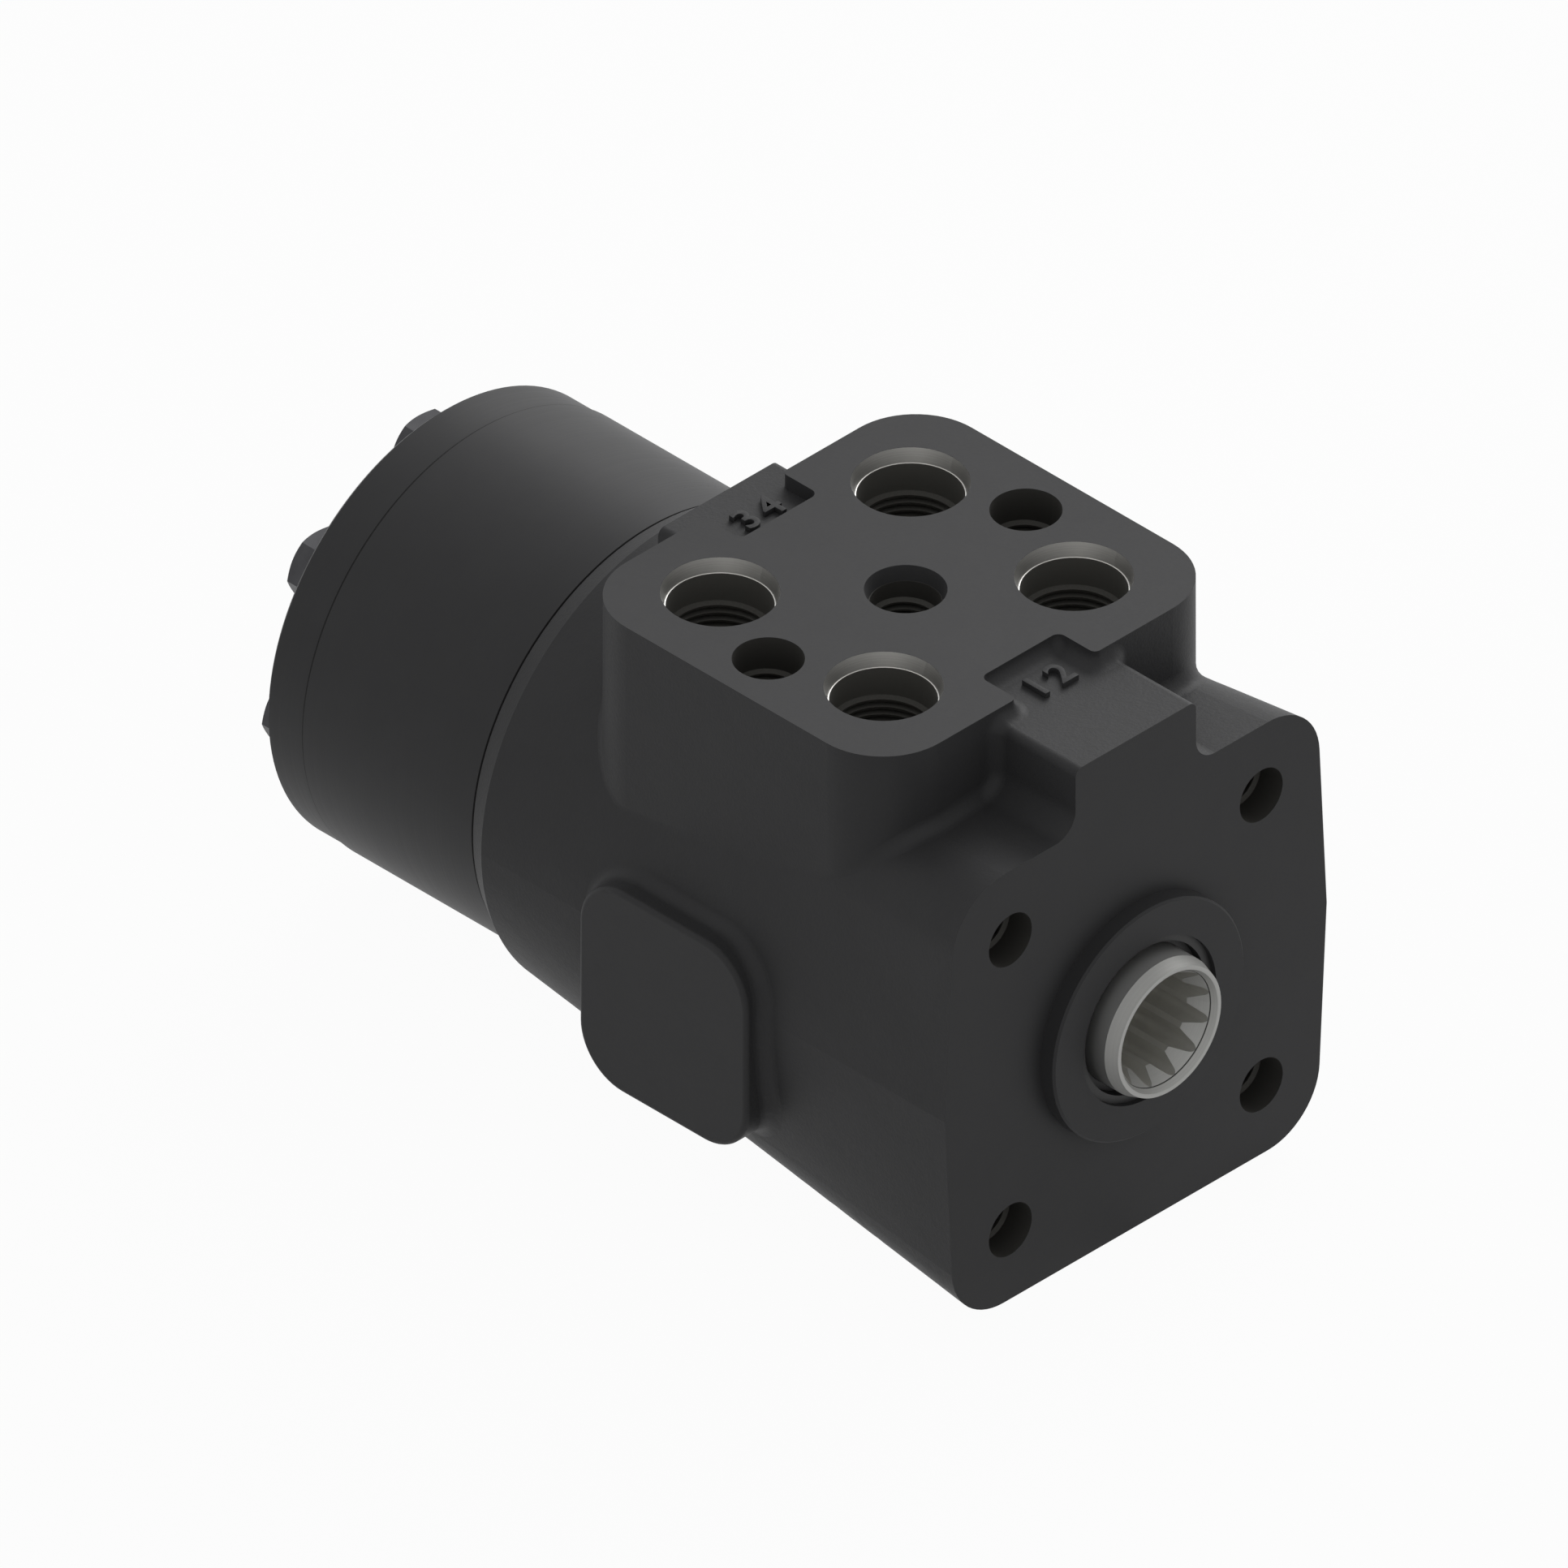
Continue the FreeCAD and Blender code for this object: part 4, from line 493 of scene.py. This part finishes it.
def copy_piece(piece, name, place):
    """Copies a piece with its own mesh, and puts its place, a matrix, into that mesh."""
    bpy.ops.object.select_all(action="DESELECT")
    copy = piece.copy()
    copy.data = piece.data.copy()
    bpy.context.collection.objects.link(copy)
    copy.name = name
    copy.parent = None
    copy.matrix_world = place
    copy.select_set(True)
    bpy.context.view_layer.objects.active = copy
    bpy.ops.object.transform_apply(location=True, rotation=True, scale=True)
    return copy


def thread_ridge(radius, pitch, turns, start):
    """A right-hand ridge with 60 degree flanks on the wall of a tapped hole, from the origin down.

    It starts and ends at the angle start about its axis. Its section is that of a metric nut:
    5/8 of the height of a sharp thread, with a crest a quarter of the pitch wide.
    """
    depth = 0.5413 * pitch
    crest = pitch / 8  # half its width
    foot = crest + depth * math.tan(math.radians(30))
    wall = radius + THREAD_SUNK
    bpy.ops.object.select_all(action="DESELECT")
    bpy.ops.mesh.primitive_plane_add(size=MM, location=(0, 0, 0))
    ridge = bpy.context.object
    corners = ((wall, -foot), (radius - depth, -crest), (radius - depth, crest), (wall, foot))
    for vertex, (across, up) in zip([ridge.data.vertices[i] for i in (0, 1, 3, 2)], corners):
        vertex.co = (across * math.cos(start) * MM, across * math.sin(start) * MM,
                     (up - foot - turns * pitch) * MM)
    bpy.ops.object.mode_set(mode="EDIT")
    bpy.ops.mesh.select_all(action="SELECT")
    bpy.ops.mesh.delete(type="ONLY_FACE")
    bpy.ops.object.mode_set(mode="OBJECT")
    helix = ridge.modifiers.new("helix", "SCREW")
    helix.angle = math.tau
    helix.screw_offset = pitch * MM
    helix.iterations = turns
    helix.steps = THREAD_STEPS
    helix.render_steps = THREAD_STEPS
    bpy.ops.object.modifier_apply(modifier=helix.name)
    bpy.ops.object.mode_set(mode="EDIT")
    bpy.ops.mesh.select_all(action="SELECT")
    bpy.ops.mesh.fill_holes(sides=0)
    bpy.ops.mesh.normals_make_consistent(inside=False)
    bpy.ops.object.mode_set(mode="OBJECT")
    bpy.ops.object.shade_smooth_by_angle(angle=math.radians(35))
    return ridge


# Sizes and colours a user may change


class PaintSettings(bpy.types.PropertyGroup):
    enamel_dark: bpy.props.StringProperty(
        name="Enamel, dark", description="Hex colour where the paint lies thick", default="#3a3a3b")
    enamel_light: bpy.props.StringProperty(
        name="Enamel, light", description="Hex colour where the paint lies thin", default="#3f3f40")


class NumeralSettings(bpy.types.PropertyGroup):
    height: bpy.props.FloatProperty(
        name="Height", description="Height of a raised numeral", default=5.6 * MM,
        unit="LENGTH", min=0.001)
    relief: bpy.props.FloatProperty(
        name="Relief", description="How far a numeral stands proud of the ledge", default=1.0 * MM,
        unit="LENGTH", min=0.0002)


class ThreadSettings(bpy.types.PropertyGroup):
    pitch: bpy.props.FloatProperty(
        name="Pitch", description="Pitch of the metric threads in the holes", default=1.5 * MM,
        unit="LENGTH", min=0.0005)


class StudioSettings(bpy.types.PropertyGroup):
    lamp_power: bpy.props.FloatProperty(
        name="Lamp Power", description="Power of the soft lamp at the right", default=11.5,
        unit="POWER", min=0)
    sky: bpy.props.FloatProperty(
        name="Sky", description="Strength of the light from all round", default=0.4, min=0)
    floor_colour: bpy.props.StringProperty(
        name="Floor Colour", description="Hex colour of the floor", default="#c8c8c8")


class SteeringUnitSettings(bpy.types.PropertyGroup):
    paint: bpy.props.PointerProperty(type=PaintSettings)
    numerals: bpy.props.PointerProperty(type=NumeralSettings)
    threads: bpy.props.PointerProperty(type=ThreadSettings)
    studio: bpy.props.PointerProperty(type=StudioSettings)


# Operators


class STEERING_OT_paint(bpy.types.Operator):
    """Paint the casting and the stack behind it"""

    bl_idname = "steering.paint"
    bl_label = "Paint"

    def execute(self, context):
        colours = context.scene.steering_unit.paint
        dress(["housing"], enamelled_cast_iron(colours))
        for node, name, feed, line in (
            ("distributor_plate", "enamelled_plate_steel", 0.35, PLATE_JOINT_SHADE),
            ("gear_ring", "enamelled_ring_steel", 0.25, RING_JOINT_SHADE),
            ("end_cover", "enamelled_cover_steel", 0.45, COVER_JOINT_SHADE),
        ):
            dress([node], enamelled_steel(name, colours, feed, line))
        dress(["cover_bolts"], plain_steel("black_oxide_steel", "#3c3c3e", "#4a4a4c", 0.45, 0.4))
        dress(["bolt_washers"], plain_steel("phosphated_steel", "#3f3f40", "#4c4c4d", 0.55, 0.4))
        return {"FINISHED"}


class STEERING_OT_valve_finish(bpy.types.Operator):
    """Give the spool, the sleeve and what they hold their steels"""

    bl_idname = "steering.valve_finish"
    bl_label = "Valve Finish"

    def execute(self, context):
        dress(["spool"], spool_steel())
        dress(["sleeve"],
              turned_steel("honed_case_hardened_steel", "#8a8a88", "#a0a09d", 0.3, 0.25))
        dress(["cross_pin", "ball_stop_pin"],
              plain_steel("hardened_pin_steel", "#8e8e8c", "#a6a6a3", 0.25, 0.3))
        dress(["flat_springs", "bowed_springs"],
              plain_steel("blued_spring_steel", "#3c414b", "#565c68", 0.32, 0.3))
        dress(["spring_ring"],
              turned_steel("turned_ring_steel", "#7e7e7b", "#97968f", 0.38, 0.35))
        return {"FINISHED"}


class STEERING_OT_bearing_finish(bpy.types.Operator):
    """Give the thrust bearing its steels"""

    bl_idname = "steering.bearing_finish"
    bl_label = "Bearing Finish"

    def execute(self, context):
        dress(["bearing_outer_race", "bearing_inner_race"],
              turned_steel("lapped_bearing_steel", "#a3a3a1", "#b6b6b3", 0.18, 0.2))
        dress(["bearing_needles"],
              plain_steel("polished_bearing_steel", "#aeaeac", "#bdbdba", 0.16, 0.2))
        dress(["bearing_cage"], plain_steel("pressed_cage_steel", "#8b8a86", "#9d9c97", 0.34, 0.4))
        return {"FINISHED"}


class STEERING_OT_gear_finish(bpy.types.Operator):
    """Give the gear set, the drive shaft, the check valve and the throttle their steels"""

    bl_idname = "steering.gear_finish"
    bl_label = "Gear Finish"

    def execute(self, context):
        centre = (0, 0, STAR_CENTRE_Z)
        dress(["gear_star"], plain_steel("sintered_gear_steel", "#6e6d6a", "#83827e", 0.4, 0.35))
        dress(["star_spacer"],
              turned_steel("turned_spacer_steel", "#7b7a77", "#918f8b", 0.4, 0.35, centre))
        dress(["drive_shaft"], turned_steel("turned_shaft_steel", "#6a6a68", "#858582", 0.38, 0.4))
        dress(["check_ball"], plain_steel("chrome_ball_steel", "#b0b0ae", "#bebebb", 0.12, 0.2))
        dress(["check_valve_seat", "throttle_screw"],
              plain_steel("free_cutting_steel", "#80807d", "#969692", 0.35, 0.3))
        return {"FINISHED"}


class STEERING_OT_seal_finish(bpy.types.Operator):
    """Give the seals their rubbers"""

    bl_idname = "steering.seal_finish"
    bl_label = "Seal Finish"

    def execute(self, context):
        dress(["dust_seal"], moulded_rubber("hard_nitrile_rubber", "#1b1b1b", 0.55))
        dress(["shaft_seal", "o_ring_housing", "o_ring_plate", "o_ring_cover"],
              moulded_rubber("nitrile_rubber", "#161616", 0.6))
        return {"FINISHED"}


class STEERING_OT_springs(bpy.types.Operator):
    """Copy the leaf springs as pieces that ride with the sleeve, and hide the springs they replace
    """

    bl_idname = "steering.springs"
    bl_label = "Leaf Springs"

    def execute(self, context):
        for name in ("flat_springs", "bowed_springs"):
            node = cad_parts[name]
            leaves = copy_piece(node, name.replace("springs", "leaves"), node.matrix_world)
            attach(leaves, "sleeve")
            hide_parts(name)
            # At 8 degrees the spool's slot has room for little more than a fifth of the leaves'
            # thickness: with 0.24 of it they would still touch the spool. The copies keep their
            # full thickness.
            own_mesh(leaves)
        return {"FINISHED"}


class STEERING_OT_numerals(bpy.types.Operator):
    """Raise the numbers of the four ports on the ledges of the casting"""

    bl_idname = "steering.numerals"
    bl_label = "Port Numerals"

    def execute(self, context):
        sizes = context.scene.steering_unit.numerals
        enamel = bpy.data.materials["enamelled_cast_iron"]
        thickness = sizes.relief + NUMERAL_SUNK * MM
        for figure, x, y in NUMERALS:
            bpy.ops.object.select_all(action="DESELECT")
            bpy.ops.object.text_add(location=(x * MM, y * MM, (LEDGE_Z - NUMERAL_SUNK) * MM))
            numeral = context.object
            numeral.name = "numeral_" + figure
            numeral.data.body = figure
            numeral.data.size = sizes.height / CAPITAL_SHARE
            numeral.data.extrude = thickness / 2 - NUMERAL_EDGE * MM
            numeral.data.bevel_depth = NUMERAL_EDGE * MM
            numeral.data.bevel_resolution = 2
            numeral.data.offset = NUMERAL_STROKE * MM
            numeral.data.resolution_u = 8
            bpy.ops.object.convert(target="MESH")
            numeral.location.z += thickness / 2
            bpy.ops.object.transform_apply(location=True, rotation=True, scale=True)
            bpy.ops.object.mode_set(mode="EDIT")
            bpy.ops.mesh.select_all(action="SELECT")
            bpy.ops.mesh.remove_doubles(threshold=NUMERAL_WELD * MM)
            bpy.ops.mesh.normals_make_consistent(inside=False)
            bpy.ops.object.mode_set(mode="OBJECT")
            bpy.ops.object.shade_smooth_by_angle(angle=math.radians(40))
            numeral.data.materials.clear()
            numeral.data.materials.append(enamel)
            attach(numeral, "case")
        return {"FINISHED"}


class STEERING_OT_threads(bpy.types.Operator):
    """Cut the threads of the ports, the valve holes and the column holes"""

    bl_idname = "steering.threads"
    bl_label = "Threads"

    def execute(self, context):
        pitch = context.scene.steering_unit.threads.pitch / MM
        iron = tapped_iron()
        port_y = (PORT_MIDDLE_Y - PORT_HALF_STEP_Y, PORT_MIDDLE_Y + PORT_HALF_STEP_Y)
        steps = (-COLUMN_HOLE_STEP, COLUMN_HOLE_STEP)
        ports = [(x, y, SEAT_Z - PORT_THREAD_START) for x in (-PORT_X, PORT_X) for y in port_y]
        valves = [(x, PORT_MIDDLE_Y, PORT_FACE_Z - VALVE_THREAD_START)
                  for x in (-VALVE_HOLE_X, VALVE_HOLE_X)]
        centre = [(0, CENTRE_PORT_Y, SEAT_Z - CENTRE_THREAD_START)]
        columns = [(x, COLUMN_THREAD_START, z) for x in steps for z in steps]
        kinds = (
            ("port_thread", PORT_RADIUS, PORT_THREAD_LENGTH, ports, 0.0, UPRIGHT_THREAD_ANGLE),
            ("valve_hole_thread", VALVE_HOLE_RADIUS, VALVE_THREAD_LENGTH, valves, 0.0,
             UPRIGHT_THREAD_ANGLE),
            ("centre_port_thread", CENTRE_PORT_RADIUS, CENTRE_THREAD_LENGTH, centre, 0.0,
             UPRIGHT_THREAD_ANGLE),
            ("column_hole_thread", COLUMN_HOLE_RADIUS, COLUMN_THREAD_LENGTH, columns, math.pi / 2,
             LEVEL_THREAD_ANGLE),
        )
        for name, radius, length, spots, turn, start in kinds:
            ridge = thread_ridge(radius, pitch, int(length / pitch), start)
            ridge.data.materials.append(iron)
            for number, spot in enumerate(spots, 1):
                place = Matrix.LocRotScale(Vector(spot) * MM, Euler((turn, 0, 0)), None)
                thread = copy_piece(ridge, "%s_%d" % (name, number), place)
                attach(thread, "case")
            bpy.data.objects.remove(ridge)
        return {"FINISHED"}


class STEERING_OT_studio(bpy.types.Operator):
    """Set the floor, the lamp, the sky and the camera"""

    bl_idname = "steering.studio"
    bl_label = "Studio"

    def execute(self, context):
        scene = context.scene
        sizes = scene.steering_unit.studio
        scene.view_settings.view_transform = "Standard"
        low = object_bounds()[0]

        bpy.ops.object.select_all(action="DESELECT")
        bpy.ops.mesh.primitive_plane_add(size=FLOOR_SIZE, location=(0, 0, low[2]))
        floor = context.object
        floor.name = "floor"
        bpy.ops.object.transform_apply(location=True, rotation=True, scale=True)
        material, tree, output = new_material("matt_white_floor")
        share = add_node(tree, "Math", {0: seen_directly(tree), 1: FLOOR_WHITE},
                         operation="MULTIPLY")
        card = add_node(tree, "BsdfDiffuse", {"Color": shade(sizes.floor_colour)})
        glow = add_node(tree, "Emission", {"Color": (1, 1, 1, 1), "Strength": 1.0})
        blend = add_node(tree, "MixShader", {0: share.outputs[0], 1: card.outputs[0],
                                             2: glow.outputs[0]})
        tree.links.new(blend.outputs[0], output.inputs["Surface"])
        floor.data.materials.append(material)
        floor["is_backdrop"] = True

        world = bpy.data.worlds.new("studio_sky")
        scene.world = world
        world.use_nodes = True
        tree = world.node_tree
        tree.nodes.clear()
        strength = add_node(tree, "MapRange", {"Value": seen_directly(tree), "To Min": sizes.sky,
                                               "To Max": 1.0})
        sky = add_node(tree, "Background", {"Color": (1, 1, 1, 1),
                                            "Strength": strength.outputs[0]})
        output = add_node(tree, "OutputWorld")
        tree.links.new(sky.outputs[0], output.inputs["Surface"])

        middle = Vector(VIEW_MIDDLE) * MM
        bpy.ops.object.light_add(type="AREA", location=LAMP_PLACE)
        lamp = context.object
        lamp.name = "soft_lamp"
        lamp.data.shape = "DISK"
        lamp.data.size = LAMP_SIZE
        lamp.data.energy = sizes.lamp_power
        lamp.rotation_euler = (middle - lamp.location).to_track_quat("-Z", "Y").to_euler()

        # The photograph is an isometric view with no perspective.
        back = Vector((-1, -1, 1)).normalized()
        bpy.ops.object.camera_add(location=middle + back * CAMERA_DISTANCE)
        camera = context.object
        camera.name = "camera"
        camera.data.type = "ORTHO"
        camera.data.ortho_scale = VIEW_WIDTH
        camera.data.clip_end = CAMERA_REACH
        camera.rotation_euler = (-back).to_track_quat("-Z", "Y").to_euler()
        scene.camera = camera
        return {"FINISHED"}


class STEERING_PT_looks(bpy.types.Panel):
    """Sizes, colours and steps of the steering unit's looks"""

    bl_idname = "STEERING_PT_looks"
    bl_label = "Steering Unit"
    bl_space_type = "VIEW_3D"
    bl_region_type = "UI"
    bl_category = "Steering Unit"

    def draw(self, context):
        settings = context.scene.steering_unit
        for group in (settings.paint, settings.numerals, settings.threads, settings.studio):
            box = self.layout.box()
            for name in group.__annotations__:
                box.prop(group, name)
        for operator in OPERATORS:
            self.layout.operator(operator.bl_idname)


OPERATORS = (
    STEERING_OT_paint, STEERING_OT_valve_finish, STEERING_OT_bearing_finish,
    STEERING_OT_gear_finish, STEERING_OT_seal_finish, STEERING_OT_springs, STEERING_OT_numerals,
    STEERING_OT_threads, STEERING_OT_studio,
)
CLASSES = (
    PaintSettings, NumeralSettings, ThreadSettings, StudioSettings, SteeringUnitSettings,
) + OPERATORS + (STEERING_PT_looks,)


def register():
    for item in CLASSES:
        bpy.utils.register_class(item)
    bpy.types.Scene.steering_unit = bpy.props.PointerProperty(type=SteeringUnitSettings)


def unregister():
    del bpy.types.Scene.steering_unit
    for item in reversed(CLASSES):
        bpy.utils.unregister_class(item)


def main():
    register()
    bpy.ops.steering.paint()
    bpy.ops.steering.valve_finish()
    bpy.ops.steering.bearing_finish()
    bpy.ops.steering.gear_finish()
    bpy.ops.steering.seal_finish()
    bpy.ops.steering.springs()
    bpy.ops.steering.numerals()
    bpy.ops.steering.threads()
    bpy.ops.steering.studio()


if __name__ == "__main__":
    main()
